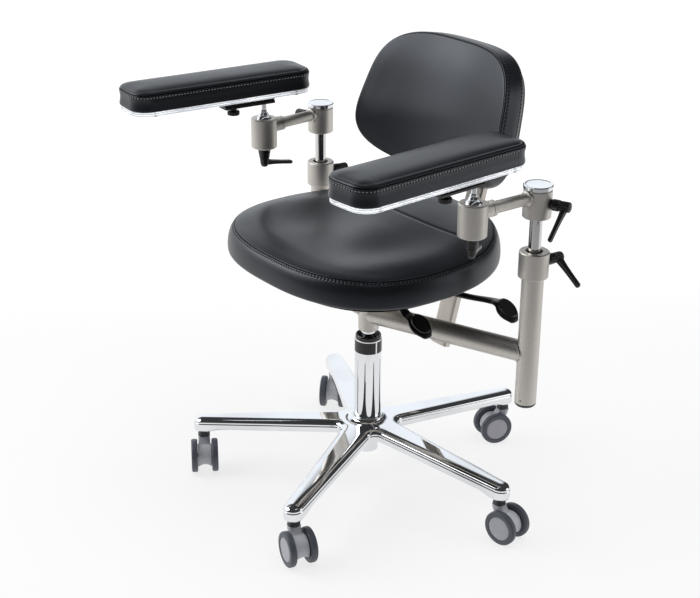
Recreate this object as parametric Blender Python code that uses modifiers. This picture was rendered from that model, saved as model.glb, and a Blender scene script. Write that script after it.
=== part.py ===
"""Laboratory chair: five-star castor base, gas-spring column, padded seat and back, two jointed arm rests.

Metres, +Z up. The sitter faces -Y, so +X is the sitter's left. The origin is on the floor, on the
column's axis.
"""
import math

import bmesh
import bpy
from mathutils import Vector

# Clearances: still pieces that touch, and pieces that turn or slide in each other
GAP = 0.0003
RUNNING = 0.0004
OVERLAP = 0.002

# Castors
WHEEL_RADIUS = 0.0325
WHEEL_WIDTH = 0.0115
WHEEL_SPACING = 0.0390
WHEEL_ROUNDING = 0.0035
WHEEL_CAP_RADIUS = 0.0215
WHEEL_CAP_DISH = 0.0008
WHEEL_STEPS = 16
AXLE_RADIUS = 0.0040
AXLE_STEPS = 10
CASTOR_TRAIL = 0.0200
DRUM_RADIUS = 0.0225
DRUM_SIDE_GAP = 0.0006
DRUM_STEPS = 16
ARCH_RADIUS = 0.0120
NECK_WIDTH = 0.0200
NECK_TOP_LENGTH = 0.0210
NECK_FOOT_LENGTH = 0.0300
NECK_ROUNDING = 0.0030
SWIVEL_RING_RADIUS = 0.0100
SWIVEL_RING_HEIGHT = 0.0145
STEM_RADIUS = 0.0055
STEM_LENGTH = 0.0200
CASTOR_HEADINGS = (9.4, 249.9, -45.0, -31.4, -13.2)

# Star base
CASTOR_CIRCLE_RADIUS = 0.3150
FIRST_LEG_ANGLE = 10.0
LEG_UNDERSIDE = 0.0805
LEG_TIP_HEIGHT = 0.0265
LEG_RISE = 0.0210
LEG_THICKNESS = 0.0215
LEG_TIP_HALF_WIDTH = 0.0185
LEG_ROOT_HALF_WIDTH = 0.0290
LEG_SHOULDER = 0.0100
LEG_CROTCH_RADIUS = 0.0160
HUB_RADIUS = 0.0330
HUB_COLLAR_RADIUS = 0.0285
HUB_HEIGHT = 0.0525
HUB_FOOT_RADIUS = 0.0210
HUB_FOOT_DROP = 0.0195
COLUMN_SEAT_DEPTH = 0.0380

# Gas-spring column
COLUMN_RADIUS = 0.0250
COLUMN_WALL = 0.0035
COLUMN_LENGTH = 0.1900
COLUMN_STEPS = 20
BUSH_FLANGE_HEIGHT = 0.0140
BUSH_DEPTH = 0.0300
SPRING_RADIUS = 0.0140
SPRING_SHOWN = 0.0100
SPRING_IN_COLUMN = 0.1750
PISTON_RADIUS = 0.0050
PISTON_CLIP_RADIUS = 0.0110
PISTON_CLIP_THICKNESS = 0.0030
PISTON_TOP_CLEARANCE = 0.0500
PISTON_STEPS = 10

# Seat mechanism: the casting with the taper socket, and the seat plate on it
SOCKET_RADIUS = 0.0190
SOCKET_LENGTH = 0.0400
SOCKET_FLARE_RADIUS = 0.0310
SOCKET_FLARE_HEIGHT = 0.0235
HOUSING_HALF_WIDTH = 0.0520
HOUSING_FRONT = 0.0700
HOUSING_REAR = 0.0950
HOUSING_HEIGHT = 0.0525
HOUSING_ROUNDING = 0.0040
PLATE_HALF_WIDTH = 0.0850
PLATE_HALF_LENGTH = 0.1000
PLATE_THICKNESS = 0.0060
EAR_THICKNESS = 0.0080
EAR_RADIUS = 0.0150
PIVOT_REACH = 0.0230
PIVOT_RISE = 0.0275
PIVOT_RADIUS = 0.0050

# Cross tubes, posts and collars
TUBE_RADIUS = 0.0190
TUBE_RISE = 0.0320
TUBE_STEPS = 16
POST_X = 0.3005
POST_Y = 0.1140
POST_RADIUS = 0.0190
POST_BELOW_TUBE = 0.0943
PLUG_THICKNESS = 0.0055
PLUG_SPIGOT = 0.0150
COLLAR_RADIUS = 0.0260
COLLAR_HEIGHT = 0.0470
COLLAR_TOP_ABOVE_TUBE = 0.1900
COLLAR_LIP = 0.0180
COLLAR_HOLE_RADIUS = 0.0145
COLLAR_CHAMFER = 0.0015

# Arm: rod, knuckle, tube and ball housing
ROD_RADIUS = 0.0110
ROD_STEPS = 16
ROD_SHOWN = 0.0610
ROD_IN_POST = 0.2000
KNUCKLE_RADIUS = 0.0245
KNUCKLE_HEIGHT = 0.0495
KNUCKLE_STEPS = 18
CAP_RADIUS = 0.0255
CAP_THICKNESS = 0.0080
CAP_ROUNDING = 0.0012
ARM_LENGTH = 0.1420
ARM_RISE = 0.0360
ARM_TUBE_RADIUS = 0.0105
FERRULE_RADIUS = 0.0138
FERRULE_LENGTH = 0.0200
ENTRY_RING_RADIUS = 0.0135
ENTRY_RING_LENGTH = 0.0030
BALL_HOUSING_RADIUS = 0.0245
BALL_HOUSING_HEIGHT = 0.0570
BALL_HOUSING_TOP_ABOVE_ARM = 0.0180
BALL_RADIUS = 0.0160
BALL_DEPTH = 0.0080
BALL_STEPS = 14
STUD_RADIUS = 0.0050
STUD_FLARE_RADIUS = 0.0095
STUD_FLARE_HEIGHT = 0.0060
STUD_SHOWN = 0.0300

# Arm rest: rail, knob, clear plate and pad
RAIL_WIDTH = 0.0300
RAIL_THICKNESS = 0.0125
RAIL_FRONT = 0.0875
RAIL_REAR = 0.0165
RAIL_GROOVE_WIDTH = 0.0100
RAIL_GROOVE_DEPTH = 0.0040
KNOB_FORWARD = 0.0640
KNOB_RADIUS = 0.0115
KNOB_HEIGHT = 0.0085
KNOB_NECK_RADIUS = 0.0060
KNOB_NECK_HEIGHT = 0.0060
PAD_LENGTH = 0.3680
PAD_WIDTH = 0.1030
PAD_CORNER_RADIUS = 0.0250
PAD_AHEAD_OF_STUD = {"left": 0.0755, "right": 0.0860}
PAD_BESIDE_STUD = 0.0236
PAD_PLATE_THICKNESS = 0.0090
PAD_SIDE_HEIGHT = 0.0300
PAD_CROWN = 0.0095
PAD_DRAW_IN = 0.0020

# Clamp levers
LEVER_STUD_RADIUS = 0.0040
LEVER_STUD_LENGTH = 0.0110
LEVER_SPACER_RADIUS = 0.0100
LEVER_SPACER_LENGTH = 0.0150
LEVER_HUB_RADIUS = 0.0092
LEVER_HUB_LENGTH = 0.0190
LEVER_ARM_LENGTH = 0.0600
LEVER_ARM_ROOT_RADIUS = 0.0062
LEVER_ARM_TIP_RADIUS = 0.0044
LEVER_ARM_SPLAY = 10.0
KNUCKLE_LEVER_SPLAY = -10.0
LEVER_STEPS = 10
BALL_LEVER_BASE_RADIUS = 0.0130
BALL_LEVER_CONE_LENGTH = 0.0200

# Rest turn of each arm, pad and clamp lever about its own axis, in degrees
ARM_TURN = {"left": -1.1, "right": 4.5}
PAD_TURN = {"left": 3.3, "right": -6.0}
KNUCKLE_LEVER_HEADING = {"left": 23.0, "right": 195.0}
KNUCKLE_LEVER_SWING = {"left": -34.0, "right": -55.0}
KNUCKLE_LEVER_DROP = 0.0100
COLLAR_LEVER_HEADING = 84.0
COLLAR_LEVER_SWING = -50.0
COLLAR_LEVER_DROP = 0.0220
BALL_LEVER_HEADING = {"left": 125.0, "right": 88.0}

# Seat
SEAT_HALF_WIDTH = 0.2330
SEAT_WIDEST = 0.0300
SEAT_FRONT = 0.2220
SEAT_REAR = 0.2200
SEAT_FRONT_SQUARENESS = 2.50
SEAT_REAR_SQUARENESS = 2.10
SEAT_SIDE_HEIGHT = 0.0610
SEAT_DRAW_IN = -0.0095
SEAT_CROWN = 0.0090
SEAT_DISH = 0.0060
SEAT_REAR_RISE = 0.0090
SEAT_REAR_BREAK = 0.0850
BOARD_THICKNESS = 0.0120
BOARD_INSET = 0.0220

# Seat levers
PADDLE_LENGTH = 0.0600
PADDLE_WIDTH = 0.0420
PADDLE_THICKNESS = 0.0130
PADDLE_DROP_ANGLE = 32.0
LEVER_SLOT_CLEARANCE = 0.0050
LEVER_NECK_RADIUS = 0.0060
LEVER_TAIL = 0.0120
LEVER_RISE = 0.0275
HEIGHT_LEVER_Y = -0.0150
HEIGHT_LEVER_REACH = 0.1080
HEIGHT_LEVER_FALL = 0.0230
TILT_LEVER_Y = 0.0700
TILT_LEVER_REACH = 0.1620
TILT_LEVER_FALL = 0.0150
TILT_LEVER_SWEEP = 0.0700

# Back: bracket, bar, mount, shell and cushion, in a frame that leans with the bar
BACK_LEAN = 15.0
BAR_OFFSET = 0.1024
BAR_WIDTH = 0.0420
BAR_DEPTH = 0.0160
BAR_BELOW_PIVOT = 0.1506
BAR_ABOVE_PIVOT = 0.3018
BAR_ROUNDING = 0.0020
BAR_STOP_RADIUS = 0.0035
BAR_STOP_HEIGHT = 0.0020
BAR_STOP_RISE = 0.0120
BRACKET_WALL = 0.0080
BRACKET_HEIGHT = 0.0560
BRACKET_BARREL_RADIUS = 0.0125
BRACKET_TONGUE_HEIGHT = 0.0220
HANDWHEEL_RADIUS = 0.0190
HANDWHEEL_THICKNESS = 0.0160
HANDWHEEL_LOBES = 5
HANDWHEEL_NOTCH_RADIUS = 0.0075
HANDWHEEL_SHAFT_RADIUS = 0.0040
MOUNT_GRIP = 0.0750
MOUNT_WALL = 0.0080
MOUNT_ARM_HALF_WIDTH = 0.0220
MOUNT_FLANGE_HALF_WIDTH = 0.0500
MOUNT_FLANGE_HALF_HEIGHT = 0.0600
MOUNT_FLANGE_THICKNESS = 0.0060
BACK_RISE = 0.3053
BACK_FORWARD = 0.0274
BACK_HALF_WIDTH = 0.1875
BACK_HALF_HEIGHT = 0.1235
BACK_SQUARENESS = 3.40
BACK_POINTS = 22
BACK_TAPER = 0.1100
BACK_DISH = 0.0430
BACK_THICKNESS = 0.0505
BACK_DRAW_IN = 0.0025
BACK_CROWN = 0.0070
SHELL_THICKNESS = 0.0080
SHELL_INSET = 0.0120

# Heights that follow from the sizes above; a wheel stands on one of its flats
AXLE_HEIGHT = WHEEL_RADIUS * math.cos(math.pi / WHEEL_STEPS)
HUB_TOP = LEG_UNDERSIDE + HUB_HEIGHT
HUB_FOOT = LEG_UNDERSIDE - HUB_FOOT_DROP
COLUMN_FOOT = HUB_TOP - COLUMN_SEAT_DEPTH
COLUMN_TOP = COLUMN_FOOT + COLUMN_LENGTH
BUSH_TOP = COLUMN_TOP + BUSH_FLANGE_HEIGHT
SOCKET_BOTTOM = BUSH_TOP + SPRING_SHOWN
FLARE_BOTTOM = SOCKET_BOTTOM + SOCKET_LENGTH
HOUSING_BOTTOM = FLARE_BOTTOM + SOCKET_FLARE_HEIGHT
PLATE_BOTTOM = HOUSING_BOTTOM + HOUSING_HEIGHT
BOARD_BOTTOM = PLATE_BOTTOM + PLATE_THICKNESS + GAP
SEAT_BOTTOM = BOARD_BOTTOM + BOARD_THICKNESS + GAP
SEAT_SEAM = SEAT_BOTTOM + SEAT_SIDE_HEIGHT
TUBE_HEIGHT = SOCKET_BOTTOM + TUBE_RISE
POST_BOTTOM = TUBE_HEIGHT - POST_BELOW_TUBE
COLLAR_TOP = TUBE_HEIGHT + COLLAR_TOP_ABOVE_TUBE
COLLAR_BOTTOM = COLLAR_TOP - COLLAR_HEIGHT
POST_TOP = COLLAR_TOP - COLLAR_LIP
KNUCKLE_BOTTOM = COLLAR_TOP + ROD_SHOWN
KNUCKLE_TOP = KNUCKLE_BOTTOM + KNUCKLE_HEIGHT
ARM_HEIGHT = KNUCKLE_BOTTOM + ARM_RISE
BALL_HOUSING_TOP = ARM_HEIGHT + BALL_HOUSING_TOP_ABOVE_ARM
BALL_HOUSING_BOTTOM = BALL_HOUSING_TOP - BALL_HOUSING_HEIGHT
BALL_HEIGHT = BALL_HOUSING_TOP - BALL_DEPTH
RAIL_BOTTOM = BALL_HOUSING_TOP + STUD_SHOWN
PAD_PLATE_BOTTOM = RAIL_BOTTOM + RAIL_THICKNESS + GAP
PAD_BOTTOM = PAD_PLATE_BOTTOM + PAD_PLATE_THICKNESS + GAP
PIVOT_Y = HOUSING_REAR + PIVOT_REACH
PIVOT_HEIGHT = HOUSING_BOTTOM + PIVOT_RISE
SIDES = {"left": 1.0, "right": -1.0}

for old in list(bpy.data.objects):
    bpy.data.objects.remove(old)


def collection(name):
    """Make a collection in the scene."""
    made = bpy.data.collections.new(name)
    bpy.context.scene.collection.children.link(made)
    return made


PARTS = collection("laboratory_chair")
CUTTERS = collection("cutters")


def finish(name, colour, roughness, metallic):
    """Make a material from a colour, a roughness and a metallic value."""
    made = bpy.data.materials.new(name)
    made.use_nodes = True
    shader = made.node_tree.nodes["Principled BSDF"]
    shader.inputs["Base Color"].default_value = (*colour, 1.0)
    shader.inputs["Roughness"].default_value = roughness
    shader.inputs["Metallic"].default_value = metallic
    return made


POLISHED = finish("polished_aluminium", (0.80, 0.81, 0.83), 0.12, 1.0)
CHROME = finish("chrome", (0.85, 0.86, 0.88), 0.06, 1.0)
SATIN = finish("satin_nickel", (0.56, 0.53, 0.49), 0.34, 1.0)
BLACK = finish("black_plastic", (0.015, 0.015, 0.016), 0.40, 0.0)
LEATHERETTE = finish("black_leatherette", (0.022, 0.022, 0.025), 0.42, 0.0)
CASTOR_GREY = finish("castor_grey", (0.46, 0.46, 0.49), 0.40, 0.0)
TREAD_GREY = finish("tread_grey", (0.13, 0.15, 0.18), 0.55, 0.0)
CLEAR = finish("clear_acrylic", (0.88, 0.92, 0.95), 0.05, 0.0)
BOARD = finish("seat_board", (0.03, 0.03, 0.03), 0.70, 0.0)


def adopt(obj, material, parent, location, rotation):
    """Put a new object in the model, as a sub-part if it has a material and as a cutter if not."""
    obj.parent = parent
    obj.location = location
    obj.rotation_euler = rotation
    if material is None:
        CUTTERS.objects.link(obj)
        obj.hide_render = True
        obj.display_type = "WIRE"
    else:
        PARTS.objects.link(obj)
        obj.data.materials.append(material)
    return obj


def axis_empty(name, parent=None, location=(0.0, 0.0, 0.0), rotation=(0.0, 0.0, 0.0)):
    """Make an empty on a joint's axis, which carries the pieces that move together."""
    obj = bpy.data.objects.new(name, None)
    obj.empty_display_size = 0.02
    PARTS.objects.link(obj)
    obj.parent = parent
    obj.location = location
    obj.rotation_euler = rotation
    return obj


def mesh_object(name, bm):
    """Turn a bmesh into an object with outward faces and smooth shading on round stretches."""
    bmesh.ops.recalc_face_normals(bm, faces=bm.faces)
    mesh = bpy.data.meshes.new(name)
    bm.to_mesh(mesh)
    bm.free()
    mesh.shade_smooth()
    mesh.set_sharp_from_angle(angle=math.radians(35))
    return bpy.data.objects.new(name, mesh)


def turned(name, profile, steps, material=None, parent=None, location=(0, 0, 0), rotation=(0, 0, 0),
           ring=False):
    """Turn a profile of (radius, height) points about Z; it runs down its outer side, top to bottom."""
    mesh = bpy.data.meshes.new(name)
    edges = [(i, i + 1) for i in range(len(profile) - 1)]
    if ring:
        edges.append((len(profile) - 1, 0))
    mesh.from_pydata([(radius, 0.0, height) for radius, height in profile], edges, [])
    obj = bpy.data.objects.new(name, mesh)
    screw = obj.modifiers.new("turn", "SCREW")
    screw.axis = "Z"
    screw.steps = steps
    screw.render_steps = steps
    screw.use_merge_vertices = True
    screw.merge_threshold = 0.00001
    screw.use_smooth_shade = True
    return adopt(obj, material, parent, location, rotation)


def box(name, size, material=None, parent=None, location=(0, 0, 0), rotation=(0, 0, 0), rounding=0.0):
    """Make a box of a full size about its centre, with its edges rounded by a Bevel."""
    bm = bmesh.new()
    bmesh.ops.create_cube(bm, size=1.0)
    bmesh.ops.scale(bm, vec=Vector(size), verts=bm.verts)
    obj = mesh_object(name, bm)
    if rounding > 0.0:
        bevel = obj.modifiers.new("rounding", "BEVEL")
        bevel.width = rounding
        bevel.segments = 1
    return adopt(obj, material, parent, location, rotation)


def outline_plate(name, outline, thickness, material=None, parent=None, location=(0, 0, 0),
                  rotation=(0, 0, 0)):
    """Make a flat plate on a closed outline, from its lower face at the location up."""
    curve = bpy.data.curves.new(name, "CURVE")
    curve.dimensions = "2D"
    curve.fill_mode = "BOTH"
    curve.extrude = thickness / 2
    spline = curve.splines.new("POLY")
    spline.points.add(len(outline) - 1)
    for point, (x, y) in zip(spline.points, outline):
        point.co = (x, y, 0.0, 1.0)
    spline.use_cyclic_u = True
    lift = Vector((0.0, 0.0, thickness / 2))
    return as_mesh(bpy.data.objects.new(name, curve), lift, material, parent, location, rotation)


def as_mesh(curve_object, shift, material, parent, location, rotation):
    """Replace a curve object by its welded mesh, moved by a shift."""
    name = curve_object.name
    bpy.context.scene.collection.objects.link(curve_object)
    evaluated = curve_object.evaluated_get(bpy.context.evaluated_depsgraph_get())
    mesh = bpy.data.meshes.new_from_object(evaluated)
    curve = curve_object.data
    bpy.data.objects.remove(curve_object)
    bpy.data.curves.remove(curve)
    bm = bmesh.new()
    bm.from_mesh(mesh)
    bpy.data.meshes.remove(mesh)
    bmesh.ops.remove_doubles(bm, verts=bm.verts, dist=0.00001)
    bmesh.ops.translate(bm, vec=shift, verts=bm.verts)
    obj = mesh_object(name, bm)
    return adopt(obj, material, parent, location, rotation)


def bent_tube(name, points, radius, resolution, material=None, parent=None, location=(0, 0, 0),
              rotation=(0, 0, 0)):
    """Make a round bar with closed ends along a few points."""
    curve = bpy.data.curves.new(name, "CURVE")
    curve.dimensions = "3D"
    curve.bevel_depth = radius
    curve.bevel_resolution = resolution
    curve.use_fill_caps = True
    spline = curve.splines.new("POLY")
    spline.points.add(len(points) - 1)
    for point, place in zip(spline.points, points):
        point.co = (*place, 1.0)
    return as_mesh(bpy.data.objects.new(name, curve), Vector(), material, parent, location, rotation)


def combine(target, operand, operation):
    """Cut an operand from a target, or join it to the target."""
    step = target.modifiers.new(operand.name, "BOOLEAN")
    step.operation = operation
    step.solver = "EXACT"
    step.object = operand


def cut(target, *operands):
    """Cut each operand from the target."""
    for operand in operands:
        combine(target, operand, "DIFFERENCE")


def join(target, *operands):
    """Join each operand to the target as one body."""
    for operand in operands:
        combine(target, operand, "UNION")


def bore(radius, steps):
    """Give the radius of a faceted hole in which a faceted shaft of a radius turns freely."""
    return (radius + RUNNING) / math.cos(math.pi / steps)


def rod_profile(radius, top, bottom):
    """Give the profile of a plain round bar."""
    return [(0.0, top), (radius, top), (radius, bottom), (0.0, bottom)]


def tube_profile(outer, inner, top, bottom):
    """Give the closed profile of a plain tube."""
    return [(outer, top), (outer, bottom), (inner, bottom), (inner, top)]


def polar(radius, degrees):
    """Give the X and Y of a point at a radius and an angle from +X."""
    angle = math.radians(degrees)
    return radius * math.cos(angle), radius * math.sin(angle)


def arc(centre, radius, start, end, steps):
    """Give points along an arc in a plane, between two angles in degrees."""
    points = []
    for i in range(steps + 1):
        x, y = polar(radius, start + (end - start) * i / steps)
        points.append((centre[0] + x, centre[1] + y))
    return points


def ring_form(name, rings, ends, material, parent, location=(0, 0, 0), rotation=(0, 0, 0), levels=1):
    """Skin closed rings of points, close them on a point at each end, and smooth them as a soft form."""
    bm = bmesh.new()
    loops = [[bm.verts.new(point) for point in ring] for ring in rings]
    count = len(loops[0])
    for lower, upper in zip(loops, loops[1:]):
        for i in range(count):
            j = (i + 1) % count
            bm.faces.new((lower[i], lower[j], upper[j], upper[i]))
    base, peak = (bm.verts.new(point) for point in ends)
    for i in range(count):
        j = (i + 1) % count
        bm.faces.new((loops[0][j], loops[0][i], base))
        bm.faces.new((loops[-1][i], loops[-1][j], peak))
    obj = mesh_object(name, bm)
    smooth = obj.modifiers.new("soft", "SUBSURF")
    smooth.levels = levels
    smooth.render_levels = levels
    return adopt(obj, material, parent, location, rotation)


def power(value, exponent):
    """Raise the size of a value to a power and keep its sign."""
    return math.copysign(abs(value) ** exponent, value)


# Star base and column
def star_outline(inset):
    """Give the base's outline, drawn in by an inset: five tapered legs with round ends and round crotches."""
    tip = LEG_TIP_HALF_WIDTH - inset
    root = LEG_ROOT_HALF_WIDTH - inset
    crotch = LEG_CROTCH_RADIUS + inset
    step = 360.0 / len(CASTOR_HEADINGS)
    slope = math.degrees(math.atan2(root - tip, CASTOR_CIRCLE_RADIUS))
    half_gap = math.radians(step / 2 - slope)
    meeting = root / (math.tan(math.radians(step / 2)) + (root - tip) / CASTOR_CIRCLE_RADIUS)
    crotch_distance = meeting / math.cos(math.radians(step / 2)) + crotch / math.sin(half_gap)
    points = []
    for k in range(len(CASTOR_HEADINGS)):
        heading = FIRST_LEG_ANGLE + step * k
        end = polar(CASTOR_CIRCLE_RADIUS, heading)
        points += arc(end, tip, heading - 90.0 + slope, heading + 90.0 - slope, 5)
        between = heading + step / 2
        centre = polar(crotch_distance, between)
        swing = 90.0 - step / 2 + slope
        points += arc(centre, crotch, between + 180.0 + swing, between + 180.0 - swing, 3)
    return points


def leg_top(x, y):
    """Give the height of the base's upper face at a place: it falls in a straight line from hub to tips."""
    return LEG_UNDERSIDE + LEG_TIP_HEIGHT + LEG_RISE * (1.0 - math.hypot(x, y) / CASTOR_CIRCLE_RADIUS)


def build_star_base(root):
    """Build the cast base with its shouldered legs, hub, column seat and a socketed boss at each tip."""
    rings = []
    for inset, fall in ((0.0, None), (0.0, LEG_SHOULDER), (0.30 * LEG_SHOULDER, 0.35 * LEG_SHOULDER)):
        ring = []
        for x, y in star_outline(inset):
            ring.append((x, y, leg_top(x, y) - (LEG_THICKNESS if fall is None else fall)))
        rings.append(ring)
    rings.append([(x, y, leg_top(x, y)) for x, y in star_outline(LEG_SHOULDER)])
    ends = ((0.0, 0.0, leg_top(0.0, 0.0) - LEG_THICKNESS), (0.0, 0.0, leg_top(0.0, 0.0)))
    base = ring_form("star_base", rings, ends, POLISHED, root, levels=0)
    base.data.set_sharp_from_angle(angle=math.radians(50))
    waist = LEG_UNDERSIDE + LEG_TIP_HEIGHT
    hub = turned("hub_blank", [
        (0.0, HUB_TOP), (HUB_COLLAR_RADIUS, HUB_TOP), (HUB_RADIUS, waist),
        (HUB_RADIUS, COLUMN_FOOT - OVERLAP), (HUB_FOOT_RADIUS, COLUMN_FOOT - 6 * OVERLAP),
        (HUB_FOOT_RADIUS, HUB_FOOT), (0.0, HUB_FOOT),
    ], COLUMN_STEPS, parent=root)
    seat = turned("column_seat", [
        (0.0, HUB_TOP + OVERLAP), (COLUMN_RADIUS + GAP, HUB_TOP + OVERLAP),
        (COLUMN_RADIUS + GAP, COLUMN_FOOT - GAP), (PISTON_RADIUS + GAP, COLUMN_FOOT - GAP),
        (PISTON_RADIUS + GAP, HUB_FOOT - OVERLAP), (0.0, HUB_FOOT - OVERLAP),
    ], COLUMN_STEPS, parent=root)
    join(base, hub)
    cut(base, seat)
    step = 360.0 / len(CASTOR_HEADINGS)
    for k in range(len(CASTOR_HEADINGS)):
        x, y = polar(CASTOR_CIRCLE_RADIUS, FIRST_LEG_ANGLE + step * k)
        boss = turned(
            f"tip_boss_{k + 1}",
            rod_profile(LEG_TIP_HALF_WIDTH - OVERLAP, leg_top(x, y) - LEG_THICKNESS / 2, LEG_UNDERSIDE),
            COLUMN_STEPS, parent=root, location=(x, y, 0.0),
        )
        join(base, boss)
        socket = turned(
            f"castor_socket_{k + 1}",
            rod_profile(bore(STEM_RADIUS, AXLE_STEPS), LEG_UNDERSIDE + STEM_LENGTH + GAP,
                        LEG_UNDERSIDE - OVERLAP),
            AXLE_STEPS, parent=root, location=(x, y, 0.0),
        )
        cut(base, socket)


def build_column(root):
    """Build the column's outer tube, its guide bush and the spring's fixed piston rod."""
    inner = COLUMN_RADIUS - COLUMN_WALL
    turned("column_tube", tube_profile(COLUMN_RADIUS, inner, COLUMN_TOP, COLUMN_FOOT), COLUMN_STEPS,
           CHROME, root, ring=True)
    hole = bore(SPRING_RADIUS, COLUMN_STEPS)
    flange = COLUMN_RADIUS - COLUMN_WALL / 4
    turned("column_bush", [
        (flange - COLUMN_WALL, BUSH_TOP), (flange, BUSH_TOP - COLUMN_WALL), (flange, COLUMN_TOP + GAP),
        (inner - GAP, COLUMN_TOP + GAP), (inner - GAP, COLUMN_TOP - BUSH_DEPTH),
        (hole, COLUMN_TOP - BUSH_DEPTH), (hole, BUSH_TOP - COLUMN_WALL), (hole + COLUMN_WALL, BUSH_TOP),
    ], COLUMN_STEPS, BLACK, root, ring=True)
    piston_top = SOCKET_BOTTOM + SOCKET_LENGTH - PISTON_TOP_CLEARANCE
    clip_top = HUB_FOOT - GAP
    turned("piston_rod", [
        (0.0, piston_top), (PISTON_RADIUS, piston_top), (PISTON_RADIUS, clip_top),
        (PISTON_CLIP_RADIUS, clip_top), (PISTON_CLIP_RADIUS, clip_top - PISTON_CLIP_THICKNESS),
        (0.0, clip_top - PISTON_CLIP_THICKNESS),
    ], PISTON_STEPS, CHROME, root)


def build_gas_cylinder(lift):
    """Build the spring's sliding cylinder, open below for the piston rod."""
    top = SOCKET_BOTTOM + SOCKET_LENGTH + SOCKET_FLARE_HEIGHT - GAP
    foot = BUSH_TOP - SPRING_IN_COLUMN
    well = bore(PISTON_RADIUS, PISTON_STEPS)
    well_top = SOCKET_BOTTOM + SOCKET_LENGTH
    turned("gas_cylinder", [
        (0.0, top), (SPRING_RADIUS, top), (SPRING_RADIUS, foot), (well, foot), (well, well_top),
        (0.0, well_top),
    ], COLUMN_STEPS, CHROME, lift)


# Castors
def wheel_side(middle, outward):
    """Give one wheel's profile from its outer to its inner face, as (radius, place along the axle)."""
    outer = middle + outward * WHEEL_WIDTH / 2
    inner = middle - outward * WHEEL_WIDTH / 2
    shoulder = WHEEL_RADIUS - WHEEL_ROUNDING
    return [
        (WHEEL_CAP_RADIUS, outer - outward * WHEEL_CAP_DISH), (shoulder, outer),
        (WHEEL_RADIUS, outer - outward * WHEEL_ROUNDING), (WHEEL_RADIUS, inner + outward * WHEEL_ROUNDING),
        (shoulder, inner), (AXLE_RADIUS, inner),
    ]


def build_castor(number, root):
    """Build one castor: the swivelling body with its stem, and the wheel pair on its axle."""
    heading = FIRST_LEG_ANGLE + 360.0 / len(CASTOR_HEADINGS) * (number - 1)
    x, y = polar(CASTOR_CIRCLE_RADIUS, heading)
    turn = math.radians(CASTOR_HEADINGS[number - 1])
    swivel = axis_empty(f"castor_swivel_{number}", root, (x, y, 0.0), (0.0, 0.0, turn))
    ring_top = LEG_UNDERSIDE - GAP
    ring_bottom = ring_top - SWIVEL_RING_HEIGHT
    drum_width = WHEEL_SPACING - WHEEL_WIDTH - 2 * DRUM_SIDE_GAP
    sideways = (math.radians(90), 0.0, 0.0)
    axle_place = (CASTOR_TRAIL, 0.0, AXLE_HEIGHT)
    stem = [
        (0.0, LEG_UNDERSIDE + STEM_LENGTH), (STEM_RADIUS, LEG_UNDERSIDE + STEM_LENGTH),
        (STEM_RADIUS, ring_top), (SWIVEL_RING_RADIUS, ring_top),
        (SWIVEL_RING_RADIUS, ring_bottom - OVERLAP), (0.0, ring_bottom - OVERLAP),
    ]
    body = turned(f"castor_body_{number}", stem, AXLE_STEPS, CASTOR_GREY, swivel)
    neck = build_neck(f"neck_{number}", ring_bottom, swivel)
    drum = turned(f"drum_{number}", rod_profile(DRUM_RADIUS, drum_width / 2, -drum_width / 2), DRUM_STEPS,
                  parent=swivel, location=axle_place, rotation=sideways)
    arch = turned(f"arch_{number}", rod_profile(ARCH_RADIUS, 2 * WHEEL_RADIUS, -2 * WHEEL_RADIUS),
                  AXLE_STEPS, parent=swivel, location=(CASTOR_TRAIL, 0.0, AXLE_HEIGHT - DRUM_RADIUS),
                  rotation=(0.0, math.radians(90), 0.0))
    axle_room = rod_profile(bore(AXLE_RADIUS, AXLE_STEPS), drum_width, -drum_width)
    axle_hole = turned(f"axle_hole_{number}", axle_room, AXLE_STEPS, parent=swivel, location=axle_place,
                       rotation=sideways)
    join(body, neck, drum)
    cut(body, arch, axle_hole)
    half = WHEEL_SPACING / 2
    profile = [(0.0, half + WHEEL_WIDTH / 2 - WHEEL_CAP_DISH)] + wheel_side(half, 1.0)
    profile += list(reversed(wheel_side(-half, -1.0))) + [(0.0, -half - WHEEL_WIDTH / 2 + WHEEL_CAP_DISH)]
    flat_down = math.pi / WHEEL_STEPS
    turned(f"castor_wheels_{number}", profile, WHEEL_STEPS, TREAD_GREY, swivel, axle_place,
           (math.radians(90), flat_down, 0.0))


def build_neck(name, top, swivel):
    """Build the tapered block between a castor's swivel ring and its drum."""
    bm = bmesh.new()
    bmesh.ops.create_cube(bm, size=1.0)
    foot = AXLE_HEIGHT
    for vert in bm.verts:
        upper = vert.co.z > 0.0
        length = NECK_TOP_LENGTH if upper else NECK_FOOT_LENGTH
        centre = 0.0 if upper else CASTOR_TRAIL
        vert.co = (centre + vert.co.x * length, vert.co.y * NECK_WIDTH, top if upper else foot)
    neck = mesh_object(name, bm)
    bevel = neck.modifiers.new("rounding", "BEVEL")
    bevel.width = NECK_ROUNDING
    bevel.segments = 1
    return adopt(neck, None, swivel, (0, 0, 0), (0, 0, 0))


# Seat mechanism and frame
def socket_line(growth):
    """Give the outer line of the taper socket and its flare, grown outward, from the housing down."""
    return [
        (SOCKET_FLARE_RADIUS + growth, HOUSING_BOTTOM + OVERLAP),
        (SOCKET_FLARE_RADIUS + growth, HOUSING_BOTTOM - OVERLAP),
        (SOCKET_RADIUS + growth, FLARE_BOTTOM), (SOCKET_RADIUS + growth, SOCKET_BOTTOM),
    ]


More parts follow.
